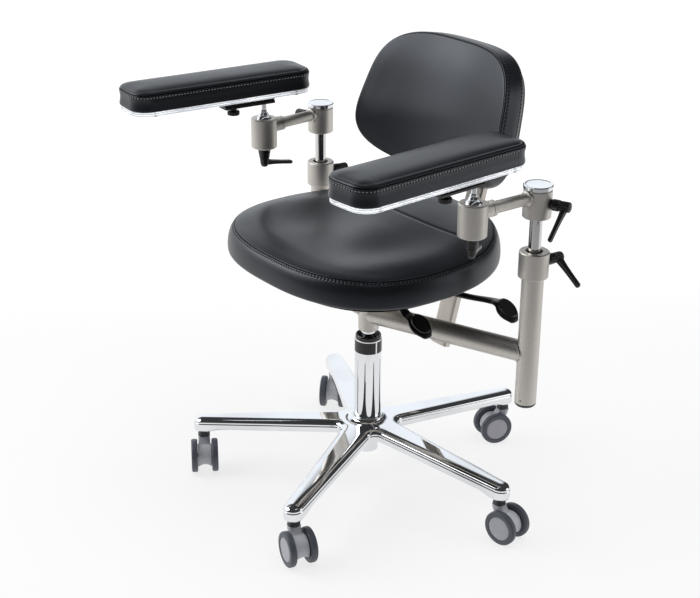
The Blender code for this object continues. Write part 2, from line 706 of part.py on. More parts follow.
def build_mechanism(seat):
    """Build the casting: taper socket, housing, seat plate, and the ears with the back's pivot pin."""
    hole = SPRING_RADIUS + GAP
    body = turned("mechanism", [
        *socket_line(0.0), (hole, SOCKET_BOTTOM), (hole, HOUSING_BOTTOM + OVERLAP),
    ], COLUMN_STEPS, SATIN, seat, ring=True)
    length = HOUSING_FRONT + HOUSING_REAR
    middle = (HOUSING_REAR - HOUSING_FRONT) / 2
    housing = box("housing_blank", (2 * HOUSING_HALF_WIDTH, length, HOUSING_HEIGHT), parent=seat,
                  location=(0.0, middle, HOUSING_BOTTOM + HOUSING_HEIGHT / 2), rounding=HOUSING_ROUNDING)
    plate = box("plate_blank", (2 * PLATE_HALF_WIDTH, 2 * PLATE_HALF_LENGTH, PLATE_THICKNESS + OVERLAP),
                parent=seat, location=(0.0, 0.0, PLATE_BOTTOM + (PLATE_THICKNESS - OVERLAP) / 2))
    join(body, housing, plate)
    ear_middle = bracket_half_width() + GAP + EAR_THICKNESS / 2
    along_x = (0.0, math.radians(90), 0.0)
    for sign in SIDES.values():
        x = sign * ear_middle
        ear = box(f"ear_{x:+.3f}", (EAR_THICKNESS, PIVOT_REACH + OVERLAP, 2 * EAR_RADIUS), parent=seat,
                  location=(x, PIVOT_Y - (PIVOT_REACH + OVERLAP) / 2, PIVOT_HEIGHT))
        eye = turned(f"eye_{x:+.3f}", rod_profile(EAR_RADIUS, EAR_THICKNESS / 2, -EAR_THICKNESS / 2),
                     DRUM_STEPS, parent=seat, location=(x, PIVOT_Y, PIVOT_HEIGHT), rotation=along_x)
        join(body, ear, eye)
    pin_half = ear_middle
    pin = turned("pivot_pin", rod_profile(PIVOT_RADIUS, pin_half, -pin_half), PISTON_STEPS, parent=seat,
                 location=(0.0, PIVOT_Y, PIVOT_HEIGHT), rotation=along_x)
    join(body, pin)
    for name, y in (("height_slot", HEIGHT_LEVER_Y), ("tilt_slot", TILT_LEVER_Y)):
        slot = box(name, (2 * (LEVER_TAIL + LEVER_SLOT_CLEARANCE), 2 * (LEVER_NECK_RADIUS + RUNNING),
                          2 * (LEVER_NECK_RADIUS + LEVER_SLOT_CLEARANCE)), parent=seat,
                   location=(HOUSING_HALF_WIDTH, y, HOUSING_BOTTOM + LEVER_RISE))
        cut(body, slot)


def bracket_half_width():
    """Give half the width of the back bracket, which is the bar and a wall on each side."""
    return BAR_WIDTH / 2 + RUNNING + BRACKET_WALL


def build_frame(seat):
    """Build the cross tubes, the posts with their plugs, and the post collars."""
    for side, sign in SIDES.items():
        place = (sign * POST_X, POST_Y, 0.0)
        length = math.hypot(POST_X, POST_Y)
        heading = math.atan2(POST_Y, sign * POST_X)
        tube = turned(f"cross_tube_{side}", rod_profile(TUBE_RADIUS, length, 0.0), TUBE_STEPS, SATIN, seat,
                      (0.0, 0.0, TUBE_HEIGHT), (0.0, math.radians(90), heading))
        socket_room = turned(f"socket_room_{side}", [
            (0.0, HOUSING_BOTTOM + OVERLAP), *socket_line(GAP), (0.0, SOCKET_BOTTOM),
        ], COLUMN_STEPS, parent=seat)
        post_room = turned(f"post_room_{side}", rod_profile(POST_RADIUS + GAP, COLLAR_TOP, 0.0), TUBE_STEPS,
                           parent=seat, location=place)
        far_half = box(f"far_half_{side}", (length, 2 * length, 4 * TUBE_RADIUS), parent=seat,
                       location=(sign * (GAP - length) / 2, 0.0, TUBE_HEIGHT))
        cut(tube, socket_room, post_room, far_half)
        guide = bore(ROD_RADIUS, ROD_STEPS)
        turned(f"post_{side}", tube_profile(POST_RADIUS, guide, POST_TOP, POST_BOTTOM), TUBE_STEPS, SATIN,
               seat, place, ring=True)
        plug_top = POST_BOTTOM - GAP
        turned(f"post_plug_{side}", [
            (0.0, POST_BOTTOM + PLUG_SPIGOT), (ROD_RADIUS, POST_BOTTOM + PLUG_SPIGOT),
            (ROD_RADIUS, plug_top), (POST_RADIUS, plug_top), (POST_RADIUS, plug_top - PLUG_THICKNESS / 2),
            (POST_RADIUS - PLUG_THICKNESS / 2, plug_top - PLUG_THICKNESS), (0.0, plug_top - PLUG_THICKNESS),
        ], TUBE_STEPS, BLACK, seat, place)
        edge = COLLAR_RADIUS - COLLAR_CHAMFER
        collar = turned(f"post_collar_{side}", [
            (edge, COLLAR_TOP), (COLLAR_RADIUS, COLLAR_TOP - COLLAR_CHAMFER),
            (COLLAR_RADIUS, COLLAR_BOTTOM + COLLAR_CHAMFER), (edge, COLLAR_BOTTOM),
            (POST_RADIUS + GAP, COLLAR_BOTTOM), (POST_RADIUS + GAP, POST_TOP + GAP),
            (COLLAR_HOLE_RADIUS, POST_TOP + GAP), (COLLAR_HOLE_RADIUS, COLLAR_TOP),
        ], TUBE_STEPS, SATIN, seat, place, ring=True)
        height = COLLAR_TOP - COLLAR_LEVER_DROP
        clamp = axis_empty(f"collar_clamp_{side}", seat, (place[0], place[1], height),
                           (0.0, math.radians(90), math.radians(COLLAR_LEVER_HEADING)))
        stud_depth = min(LEVER_STUD_LENGTH, COLLAR_RADIUS - POST_RADIUS - 2 * GAP)
        build_clamp_lever(f"collar_lever_{side}", clamp, COLLAR_RADIUS + GAP, stud_depth, COLLAR_LEVER_SWING,
                          collar)


# Clamp levers
def lever_arm(name, parent, height, swing, splay=LEVER_ARM_SPLAY):
    """Build the tapered, round-ended arm of a clamp lever, square to the lever's axis but for its splay."""
    tip = LEVER_ARM_LENGTH
    profile = [
        (0.0, tip + LEVER_ARM_TIP_RADIUS), (0.7 * LEVER_ARM_TIP_RADIUS, tip + 0.7 * LEVER_ARM_TIP_RADIUS),
        (LEVER_ARM_TIP_RADIUS, tip), (LEVER_ARM_ROOT_RADIUS, 0.0), (0.0, 0.0),
    ]
    return turned(name, profile, LEVER_STEPS, parent=parent, location=(0.0, 0.0, height),
                  rotation=(0.0, math.radians(90.0 - splay), math.radians(swing)))


def build_clamp_lever(name, clamp, seat_radius, stud_depth, swing, held_in, splay=LEVER_ARM_SPLAY):
    """Build a clamp lever on an axis that points out along Z from the piece it is screwed into."""
    hub_foot = seat_radius + LEVER_SPACER_LENGTH
    hub_top = hub_foot + LEVER_HUB_LENGTH
    crown = 0.7 * LEVER_HUB_RADIUS
    lever = turned(name, [
        (0.0, hub_top), (crown, hub_top), (LEVER_HUB_RADIUS, hub_top - LEVER_HUB_RADIUS + crown),
        (LEVER_HUB_RADIUS, hub_foot), (LEVER_SPACER_RADIUS, hub_foot), (LEVER_SPACER_RADIUS, seat_radius),
        (LEVER_STUD_RADIUS, seat_radius), (LEVER_STUD_RADIUS, seat_radius - stud_depth),
        (0.0, seat_radius - stud_depth),
    ], LEVER_STEPS, BLACK, clamp)
    join(lever, lever_arm(f"{name}_arm", clamp, hub_top - LEVER_HUB_RADIUS, swing, splay))
    hole = turned(f"{name}_hole", rod_profile(bore(LEVER_STUD_RADIUS, LEVER_STEPS), seat_radius + OVERLAP,
                                              seat_radius - stud_depth - GAP), LEVER_STEPS, parent=clamp)
    cut(held_in, hole)


def build_ball_lever(name, clamp, swing, held_in):
    """Build the stepped conical lever under a ball housing; its axis points down along Z."""
    cone_top = GAP
    step = cone_top + BALL_LEVER_CONE_LENGTH
    end = step + LEVER_HUB_LENGTH
    narrow = 0.8 * LEVER_HUB_RADIUS
    lever = turned(name, [
        (0.0, end), (0.6 * narrow, end), (narrow, end - 0.4 * narrow), (LEVER_HUB_RADIUS, step),
        (0.8 * BALL_LEVER_BASE_RADIUS, step), (BALL_LEVER_BASE_RADIUS, cone_top),
        (LEVER_STUD_RADIUS, cone_top), (LEVER_STUD_RADIUS, cone_top - LEVER_STUD_LENGTH),
        (0.0, cone_top - LEVER_STUD_LENGTH),
    ], LEVER_STEPS, BLACK, clamp)
    join(lever, lever_arm(f"{name}_arm", clamp, end - LEVER_HUB_RADIUS, swing))
    hole = turned(f"{name}_hole", rod_profile(bore(LEVER_STUD_RADIUS, LEVER_STEPS), cone_top + OVERLAP,
                                              cone_top - LEVER_STUD_LENGTH - GAP), LEVER_STEPS, parent=clamp)
    cut(held_in, hole)


# Arms
def build_arm(side, seat):
    """Build one arm: rod with its cap, knuckle, tube, ball housing and the two clamp levers it carries."""
    sign = SIDES[side]
    slide = axis_empty(f"arm_slide_{side}", seat, (sign * POST_X, POST_Y, 0.0))
    cap_bottom = KNUCKLE_TOP + RUNNING
    cap_top = cap_bottom + CAP_THICKNESS
    rod_bottom = COLLAR_TOP - ROD_IN_POST
    turned(f"arm_rod_{side}", [
        (0.0, cap_top), (CAP_RADIUS - CAP_ROUNDING, cap_top), (CAP_RADIUS, cap_top - CAP_ROUNDING),
        (CAP_RADIUS, cap_bottom), (ROD_RADIUS, cap_bottom), (ROD_RADIUS, rod_bottom), (0.0, rod_bottom),
    ], ROD_STEPS, CHROME, slide)
    turn = axis_empty(f"arm_turn_{side}", slide, rotation=(0.0, 0.0, math.radians(ARM_TURN[side])))
    edge = KNUCKLE_RADIUS - COLLAR_CHAMFER
    hole = bore(ROD_RADIUS, ROD_STEPS)
    knuckle = turned(f"arm_knuckle_{side}", [
        (edge, KNUCKLE_TOP), (KNUCKLE_RADIUS, KNUCKLE_TOP - COLLAR_CHAMFER),
        (KNUCKLE_RADIUS, KNUCKLE_BOTTOM + COLLAR_CHAMFER), (edge, KNUCKLE_BOTTOM), (hole, KNUCKLE_BOTTOM),
        (hole, KNUCKLE_TOP),
    ], KNUCKLE_STEPS, SATIN, turn, ring=True)
    build_arm_tube(side, turn)
    housing = build_ball_housing(side, turn)
    heading = KNUCKLE_LEVER_HEADING[side] - ARM_TURN[side]
    clamp = axis_empty(f"knuckle_clamp_{side}", turn, (0.0, 0.0, ARM_HEIGHT - KNUCKLE_LEVER_DROP),
                       (0.0, math.radians(90), math.radians(heading)))
    build_clamp_lever(f"knuckle_lever_{side}", clamp, KNUCKLE_RADIUS + GAP, LEVER_STUD_LENGTH,
                      KNUCKLE_LEVER_SWING[side], knuckle, KNUCKLE_LEVER_SPLAY)
    under = axis_empty(f"ball_clamp_{side}", turn, (0.0, -ARM_LENGTH, BALL_HOUSING_BOTTOM),
                       (math.pi, 0.0, 0.0))
    swing = -(BALL_LEVER_HEADING[side] - ARM_TURN[side])
    build_ball_lever(f"ball_lever_{side}", under, swing, housing)
    return turn


def build_arm_tube(side, turn):
    """Build the arm's tube with its ferrule and entry ring, hollowed to meet the knuckle and the housing."""
    ferrule_end = ARM_LENGTH - BALL_HOUSING_RADIUS - FERRULE_LENGTH
    ring_end = KNUCKLE_RADIUS + ENTRY_RING_LENGTH
    tube = turned(f"arm_tube_{side}", [
        (0.0, ARM_LENGTH), (FERRULE_RADIUS, ARM_LENGTH), (FERRULE_RADIUS, ferrule_end),
        (ARM_TUBE_RADIUS, ferrule_end), (ARM_TUBE_RADIUS, ring_end), (ENTRY_RING_RADIUS, ring_end),
        (ENTRY_RING_RADIUS, 0.0), (0.0, 0.0),
    ], ROD_STEPS, SATIN, turn, (0.0, 0.0, ARM_HEIGHT), (math.radians(90), 0.0, 0.0))
    for name, y, radius in (("knuckle", 0.0, KNUCKLE_RADIUS), ("ball", -ARM_LENGTH, BALL_HOUSING_RADIUS)):
        room = turned(f"{name}_room_{side}", rod_profile(radius + GAP, ARM_HEIGHT + ARM_LENGTH,
                                                         ARM_HEIGHT - ARM_LENGTH),
                      KNUCKLE_STEPS, parent=turn, location=(0.0, y, 0.0))
        cut(tube, room)


def build_ball_housing(side, turn):
    """Build the housing with the ball's seat, open at the top where the stud comes out."""
    top = BALL_HOUSING_TOP
    bottom = BALL_HOUSING_BOTTOM
    edge = BALL_HOUSING_RADIUS - COLLAR_CHAMFER
    well = bore(BALL_RADIUS, BALL_STEPS)
    floor = BALL_HEIGHT - BALL_RADIUS - RUNNING
    lip = arc((0.0, BALL_HEIGHT), well, 0.0, math.degrees(math.asin(BALL_DEPTH / well)), 3)
    return turned(f"ball_housing_{side}", [
        (edge, top), (BALL_HOUSING_RADIUS, top - COLLAR_CHAMFER),
        (BALL_HOUSING_RADIUS, bottom + COLLAR_CHAMFER), (edge, bottom), (0.0, bottom), (0.0, floor),
        (well, floor), *lip,
    ], KNUCKLE_STEPS, SATIN, turn, (0.0, -ARM_LENGTH, 0.0), ring=True)


def build_ball_joint(side, turn):
    """Build the ball and its stud, whose flared foot rides on the ball; return the stud's axis empty."""
    centre = (0.0, -ARM_LENGTH, BALL_HEIGHT)
    ball_axis = axis_empty(f"ball_axis_{side}", turn, centre)
    bm = bmesh.new()
    bmesh.ops.create_uvsphere(bm, u_segments=BALL_STEPS, v_segments=BALL_STEPS // 2, radius=BALL_RADIUS)
    adopt(mesh_object(f"ball_{side}", bm), CHROME, ball_axis, (0, 0, 0), (0, 0, 0))
    stud_axis = axis_empty(f"stud_axis_{side}", ball_axis)
    cup = (BALL_RADIUS + RUNNING) / math.cos(math.pi / BALL_STEPS)
    spread = math.degrees(math.asin(STUD_FLARE_RADIUS / cup))
    top = RAIL_BOTTOM - BALL_HEIGHT - GAP
    flare_top = cup + STUD_FLARE_HEIGHT
    rim = math.sqrt(cup ** 2 - STUD_FLARE_RADIUS ** 2)
    hollow = [(x, z) for x, z in arc((0.0, 0.0), cup, 90.0 - spread, 90.0, 3)][1:-1]
    turned(f"ball_stud_{side}", [
        (0.0, top), (STUD_RADIUS, top), (STUD_RADIUS, flare_top),
        (0.5 * (STUD_RADIUS + STUD_FLARE_RADIUS), 0.5 * (cup + rim) + 0.3 * STUD_FLARE_HEIGHT),
        (STUD_FLARE_RADIUS, rim + OVERLAP / 2), (STUD_FLARE_RADIUS, rim), *hollow, (0.0, cup),
    ], BALL_STEPS, CHROME, stud_axis)
    return stud_axis


# Arm rests
def rounded_rectangle(width, length, radius, steps):
    """Give the outline of a rectangle with round corners, about its centre."""
    x = width / 2 - radius
    y = length / 2 - radius
    points = []
    for corner, (cx, cy) in enumerate(((x, y), (-x, y), (-x, -y), (x, -y))):
        points += arc((cx, cy), radius, 90.0 * corner, 90.0 * (corner + 1), steps)
    return points


def build_rest(side, stud_axis):
    """Build one arm rest: the rail with its knob, and the clear plate and pad that slide on the rail."""
    lift = Vector((0.0, 0.0, -BALL_HEIGHT))
    rail_turn = axis_empty(f"rail_turn_{side}", stud_axis, lift,
                           (0.0, 0.0, math.radians(PAD_TURN[side] - ARM_TURN[side])))
    rail_length = RAIL_FRONT + RAIL_REAR
    rail_middle = (RAIL_REAR - RAIL_FRONT) / 2
    rail = box(f"pad_rail_{side}", (RAIL_WIDTH, rail_length, RAIL_THICKNESS), BLACK, rail_turn,
               (0.0, rail_middle, RAIL_BOTTOM + RAIL_THICKNESS / 2), rounding=0.001)
    groove = box(f"rail_groove_{side}", (RAIL_GROOVE_WIDTH, 2 * rail_length, 2 * RAIL_GROOVE_DEPTH),
                 parent=rail_turn, location=(0.0, rail_middle, RAIL_BOTTOM + RAIL_THICKNESS))
    knob_axis = axis_empty(f"knob_axis_{side}", rail_turn, (0.0, -KNOB_FORWARD, 0.0))
    shaft_top = RAIL_BOTTOM + RAIL_THICKNESS - RAIL_GROOVE_DEPTH
    neck_top = RAIL_BOTTOM - GAP
    disc_top = neck_top - KNOB_NECK_HEIGHT
    disc_bottom = disc_top - KNOB_HEIGHT
    soft = KNOB_HEIGHT / 4
    turned(f"rail_knob_{side}", [
        (0.0, shaft_top), (LEVER_STUD_RADIUS, shaft_top), (LEVER_STUD_RADIUS, neck_top),
        (KNOB_NECK_RADIUS, neck_top), (KNOB_NECK_RADIUS, disc_top), (KNOB_RADIUS - soft, disc_top),
        (KNOB_RADIUS, disc_top - soft),
        (KNOB_RADIUS, disc_bottom + soft), (KNOB_RADIUS - soft, disc_bottom), (0.0, disc_bottom),
    ], LEVER_STEPS, BLACK, knob_axis)
    knob_hole = turned(f"knob_hole_{side}", rod_profile(bore(LEVER_STUD_RADIUS, LEVER_STEPS),
                                                        RAIL_BOTTOM + RAIL_THICKNESS, RAIL_BOTTOM - OVERLAP),
                       LEVER_STEPS, parent=knob_axis)
    cut(rail, groove, knob_hole)
    slide = axis_empty(f"pad_slide_{side}", rail_turn, (-PAD_BESIDE_STUD, -PAD_AHEAD_OF_STUD[side], 0.0))
    outline = rounded_rectangle(PAD_WIDTH, PAD_LENGTH, PAD_CORNER_RADIUS, 4)
    outline_plate(f"pad_plate_{side}", outline, PAD_PLATE_THICKNESS, CLEAR, slide,
                  (0.0, 0.0, PAD_PLATE_BOTTOM))
    build_pad(side, slide)


def build_pad(side, slide):
    """Build the arm pad: flat below, drawn-in sides up to its seam, and a crown above."""
    edge = PAD_CORNER_RADIUS / 4
    levels = (
        (edge, 0.0), (0.0, 0.10 * PAD_SIDE_HEIGHT), (PAD_DRAW_IN, 0.55 * PAD_SIDE_HEIGHT),
        (0.0, PAD_SIDE_HEIGHT),
        (0.6 * edge, PAD_SIDE_HEIGHT + 0.35 * PAD_CROWN), (2.2 * edge, PAD_SIDE_HEIGHT + 0.95 * PAD_CROWN),
    )
    rings = []
    for inset, height in levels:
        radius = max(PAD_CORNER_RADIUS - inset, edge)
        outline = rounded_rectangle(PAD_WIDTH - 2 * inset, PAD_LENGTH - 2 * inset, radius, 2)
        rings.append([(x, y, height) for x, y in outline])
    top = PAD_SIDE_HEIGHT + PAD_CROWN
    rings.append([(0.45 * x, (1.0 - 0.55 * PAD_WIDTH / PAD_LENGTH) * y, top) for x, y, _ in rings[-1]])
    ends = ((0.0, 0.0, 0.0), (0.0, 0.0, top))
    ring_form(f"pad_cushion_{side}", rings, ends, LEATHERETTE, slide, (0.0, 0.0, PAD_BOTTOM))


# Seat
def seat_outline(inset, count):
    """Give the seat's outline, drawn in by an inset: squarer in front of its widest line than behind it."""
    width = SEAT_HALF_WIDTH - inset
    front = SEAT_FRONT - SEAT_WIDEST - inset
    rear = SEAT_REAR + SEAT_WIDEST - inset
    points = []
    for i in range(count):
        angle = 2 * math.pi * i / count
        behind = math.sin(angle) > 0.0
        exponent = 2.0 / (SEAT_REAR_SQUARENESS if behind else SEAT_FRONT_SQUARENESS)
        x = width * power(math.cos(angle), exponent)
        y = (rear if behind else front) * power(math.sin(angle), exponent) - SEAT_WIDEST
        points.append((x, y))
    return points


def seat_lift(x, y):
    """Give how far the seat's top is raised behind its seam line and dished in the middle."""
    behind = max(0.0, y - SEAT_REAR_BREAK) / (SEAT_REAR - SEAT_REAR_BREAK)
    middle = max(0.0, 1.0 - math.hypot(x / SEAT_HALF_WIDTH, y / SEAT_FRONT) ** 2)
    return SEAT_REAR_RISE * behind - SEAT_DISH * middle


def build_seat(seat):
    """Build the seat board and the cushion on it."""
    outline_plate("seat_board", seat_outline(BOARD_INSET, 28), BOARD_THICKNESS, BOARD, seat,
                  (0.0, 0.0, BOARD_BOTTOM))
    edge = SEAT_SIDE_HEIGHT / 4
    levels = (
        (1.4 * edge, 0.0), (0.2 * SEAT_DRAW_IN, 0.20 * SEAT_SIDE_HEIGHT),
        (SEAT_DRAW_IN, 0.45 * SEAT_SIDE_HEIGHT),
        (0.0, SEAT_SIDE_HEIGHT),
        (0.7 * edge, SEAT_SIDE_HEIGHT + 0.6 * SEAT_CROWN), (3.0 * edge, SEAT_SIDE_HEIGHT + SEAT_CROWN),
        (8.0 * edge, SEAT_SIDE_HEIGHT + SEAT_CROWN),
    )
    rings = []
    for inset, height in levels:
        share = height / SEAT_SIDE_HEIGHT
        rings.append([(x, y, height + share * seat_lift(x, y)) for x, y in seat_outline(inset, 24)])
    ends = ((0.0, -SEAT_WIDEST, 0.0), (0.0, -SEAT_WIDEST, SEAT_SIDE_HEIGHT + SEAT_CROWN - SEAT_DISH))
    ring_form("seat_cushion", rings, ends, LEATHERETTE, seat, (0.0, 0.0, SEAT_BOTTOM))


def build_seat_lever(name, seat, y, reach, fall, sweep):
    """Build a paddle lever that pivots in the housing's side and hangs out below the seat."""
    height = HOUSING_BOTTOM + LEVER_RISE
    pivot = axis_empty(f"{name}_pivot", seat, (HOUSING_HALF_WIDTH, y, height))
    start = PADDLE_LENGTH / 2 * math.cos(math.radians(PADDLE_DROP_ANGLE))
    points = [
        (-LEVER_TAIL, 0.0, 0.0), (2 * LEVER_NECK_RADIUS, 0.0, 0.0),
        (0.65 * reach, 0.60 * sweep, -0.35 * fall), (reach - start / 2, sweep, -0.85 * fall),
    ]
    lever = bent_tube(name, points, LEVER_NECK_RADIUS, 2, BLACK, pivot)
    bm = bmesh.new()
    bmesh.ops.create_uvsphere(bm, u_segments=16, v_segments=8, radius=0.5)
    bmesh.ops.scale(bm, vec=Vector((PADDLE_LENGTH, PADDLE_WIDTH, PADDLE_THICKNESS)), verts=bm.verts)
    paddle = adopt(mesh_object(f"{name}_paddle", bm), None, pivot, (reach, sweep, -fall),
                   (0.0, math.radians(PADDLE_DROP_ANGLE), 0.0))
    join(lever, paddle)


# Back
def build_back_bracket(tilt):
    """Build the tilting bracket: barrel on the pivot pin, tongue and bar socket, with its handwheel."""
    half = bracket_half_width()
    depth = BAR_DEPTH / 2 + RUNNING + BRACKET_WALL
    bracket = box("back_bracket", (2 * half, 2 * depth, BRACKET_HEIGHT), SATIN, tilt, (0.0, BAR_OFFSET, 0.0),
                  rounding=BAR_ROUNDING)
    along_x = (0.0, math.radians(90), 0.0)
    barrel = turned("bracket_barrel", rod_profile(BRACKET_BARREL_RADIUS, half, -half), DRUM_STEPS,
                    parent=tilt, rotation=along_x)
    tongue_length = BAR_OFFSET - depth + OVERLAP
    tongue = box("bracket_tongue", (2 * half, tongue_length, BRACKET_TONGUE_HEIGHT), parent=tilt,
                 location=(0.0, tongue_length / 2, 0.0))
    bar_room = box("bar_room", (BAR_WIDTH + 2 * RUNNING, BAR_DEPTH + 2 * RUNNING, 2 * BRACKET_HEIGHT),
                   parent=tilt, location=(0.0, BAR_OFFSET, 0.0))
    pin_hole = turned("pin_hole", rod_profile(bore(PIVOT_RADIUS, PISTON_STEPS), 2 * half, -2 * half),
                      PISTON_STEPS, parent=tilt, rotation=along_x)
    join(bracket, tongue, barrel)
    rearward = (math.radians(-90), 0.0, 0.0)
    wheel_axis = axis_empty("handwheel_axis", tilt, (0.0, BAR_OFFSET, 0.0), rearward)
    shaft_hole = turned("shaft_hole", rod_profile(bore(HANDWHEEL_SHAFT_RADIUS, LEVER_STEPS), 2 * depth, 0.0),
                        LEVER_STEPS, parent=wheel_axis)
    cut(bracket, bar_room, pin_hole, shaft_hole)
    near = depth + 2 * RUNNING
    far = near + HANDWHEEL_THICKNESS
    shaft_tip = BAR_DEPTH / 2 + RUNNING
    soft = HANDWHEEL_THICKNESS / 5
    wheel = turned("back_handwheel", [
        (0.0, far), (HANDWHEEL_RADIUS - soft, far), (HANDWHEEL_RADIUS, far - soft),
        (HANDWHEEL_RADIUS, near + soft), (HANDWHEEL_RADIUS - soft, near), (HANDWHEEL_SHAFT_RADIUS, near),
        (HANDWHEEL_SHAFT_RADIUS, shaft_tip), (0.0, shaft_tip),
    ], COLUMN_STEPS, BLACK, wheel_axis)
    for k in range(HANDWHEEL_LOBES):
        x, y = polar(HANDWHEEL_RADIUS + HANDWHEEL_NOTCH_RADIUS / 2, 360.0 * k / HANDWHEEL_LOBES)
        notch = turned(f"handwheel_notch_{k + 1}", rod_profile(HANDWHEEL_NOTCH_RADIUS, 2 * far, 0.0),
                       LEVER_STEPS, parent=wheel_axis, location=(x, y, 0.0))
        cut(wheel, notch)


def back_point(angle, growth, depth):
    """Give a point of the back's rounded outline, grown or drawn in, at a depth behind its dished front."""
    exponent = 2.0 / BACK_SQUARENESS
    across = power(math.cos(angle), exponent)
    up = power(math.sin(angle), exponent)
    x = (BACK_HALF_WIDTH + growth) * across * (1.0 - BACK_TAPER * up)
    z = (BACK_HALF_HEIGHT + growth) * up
    return x, depth - BACK_DISH * (x / BACK_HALF_WIDTH) ** 2, z


def back_ring(growth, depth, count):
    """Give a closed ring of points round the back."""
    return [back_point(2 * math.pi * (i + 0.5) / count, growth, depth) for i in range(count)]


def build_back(rise):
    """Build the bar, the mount on its top, the shell and the cushion, which rise together."""
    bar_length = BAR_BELOW_PIVOT + BAR_ABOVE_PIVOT
    bar = box("back_bar", (BAR_WIDTH, BAR_DEPTH, bar_length), SATIN, rise,
              (0.0, BAR_OFFSET, (BAR_ABOVE_PIVOT - BAR_BELOW_PIVOT) / 2), rounding=BAR_ROUNDING)
    stop = turned("bar_stop", rod_profile(BAR_STOP_RADIUS, BAR_DEPTH / 2 + BAR_STOP_HEIGHT, 0.0),
                  LEVER_STEPS, parent=rise, rotation=(math.radians(90), 0.0, 0.0),
                  location=(0.0, BAR_OFFSET, BAR_STOP_RISE - BAR_BELOW_PIVOT))
    join(bar, stop)
    build_back_mount(rise)
    centre = (0.0, -BACK_FORWARD, BACK_RISE)
    shell_front = BACK_THICKNESS + GAP
    shell_rear = shell_front + SHELL_THICKNESS
    inner = -0.45 * BACK_HALF_HEIGHT
    shell_levels = ((inner, shell_rear), (-SHELL_INSET, shell_rear), (-SHELL_INSET, shell_front),
                    (inner, shell_front))
    shell_rings = [back_ring(growth, depth, BACK_POINTS) for growth, depth in shell_levels]
    ring_form("back_shell", shell_rings, ((0.0, shell_rear, 0.0), (0.0, shell_front, 0.0)), BLACK, rise,
              centre, levels=0)
    edge = BACK_THICKNESS / 5
    levels = (
        (inner, BACK_THICKNESS), (-edge, BACK_THICKNESS), (0.3 * edge, 0.88 * BACK_THICKNESS),
        (0.3 * edge - BACK_DRAW_IN, 0.45 * BACK_THICKNESS), (0.0, 0.0), (-edge, -0.6 * BACK_CROWN),
        (-3.0 * edge, -BACK_CROWN), (-7.5 * edge, -BACK_CROWN),
    )
    rings = [back_ring(growth, depth, BACK_POINTS) for growth, depth in levels]
    ends = ((0.0, BACK_THICKNESS, 0.0), (0.0, -BACK_CROWN, 0.0))
    ring_form("back_cushion", rings, ends, LEATHERETTE, rise, centre)


def build_back_mount(rise):
    """Build the mount: a grip over the bar's top, an arm forward, and a flange on the shell."""
    half = BAR_WIDTH / 2 + GAP + MOUNT_WALL
    depth = BAR_DEPTH / 2 + GAP + MOUNT_WALL
    grip_top = BAR_ABOVE_PIVOT + GAP + MOUNT_WALL
    grip_bottom = BAR_ABOVE_PIVOT - MOUNT_GRIP
    flange_front = BACK_THICKNESS + SHELL_THICKNESS + 2 * GAP - BACK_FORWARD
    grip_height = grip_top - grip_bottom
    middle = (grip_top + grip_bottom) / 2
    mount = box("back_mount", (2 * half, 2 * depth, grip_height), SATIN, rise, (0.0, BAR_OFFSET, middle),
                rounding=BAR_ROUNDING)
    arm_rear = BAR_OFFSET - depth + OVERLAP
    arm_length = arm_rear - flange_front
    arm = box("mount_arm", (2 * MOUNT_ARM_HALF_WIDTH, arm_length, 0.7 * grip_height), parent=rise,
              location=(0.0, flange_front + arm_length / 2, middle))
    flange_size = (2 * MOUNT_FLANGE_HALF_WIDTH, MOUNT_FLANGE_THICKNESS, 2 * MOUNT_FLANGE_HALF_HEIGHT)
    flange = box("mount_flange", flange_size, parent=rise,
                 location=(0.0, flange_front + MOUNT_FLANGE_THICKNESS / 2, middle))
    bar_room = box("mount_pocket", (BAR_WIDTH + 2 * GAP, BAR_DEPTH + 2 * GAP, 2 * MOUNT_GRIP), parent=rise,
                   location=(0.0, BAR_OFFSET, BAR_ABOVE_PIVOT + GAP - MOUNT_GRIP))
    join(mount, arm, flange)
    cut(mount, bar_room)


def build_chair():
    """Build the whole chair from the floor up."""
    root = axis_empty("chair")
    build_star_base(root)
    build_column(root)
    for number in range(1, len(CASTOR_HEADINGS) + 1):
        build_castor(number, root)
    lift = axis_empty("lift_axis", root)
    build_gas_cylinder(lift)
    seat = axis_empty("seat_axis", lift)
    build_mechanism(seat)
    build_frame(seat)
    build_seat(seat)
    build_seat_lever("height_lever", seat, HEIGHT_LEVER_Y, HEIGHT_LEVER_REACH, HEIGHT_LEVER_FALL, 0.0)
    build_seat_lever("tilt_lever", seat, TILT_LEVER_Y, TILT_LEVER_REACH, TILT_LEVER_FALL, TILT_LEVER_SWEEP)
    tilt = axis_empty("back_tilt", seat, (0.0, PIVOT_Y, PIVOT_HEIGHT), (math.radians(-BACK_LEAN), 0.0, 0.0))
    build_back_bracket(tilt)
    build_back(axis_empty("back_rise", tilt))
    for side in SIDES:
        turn = build_arm(side, seat)
        build_rest(side, build_ball_joint(side, turn))


build_chair()
bpy.context.view_layer.update()
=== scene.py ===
"""Looks of the laboratory chair: each sub-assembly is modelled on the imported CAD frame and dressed.

Metres, +Z up, in the CAD's own frame. The sitter faces -Y, and +X is the sitter's left.
"""
from __future__ import annotations

import logging
import math
from dataclasses import dataclass, field
from enum import Enum
from typing import Callable, Sequence

import bmesh
import bpy
import numpy as np
from mathutils import Matrix, Vector
from mathutils.bvhtree import BVHTree
from mathutils.kdtree import KDTree

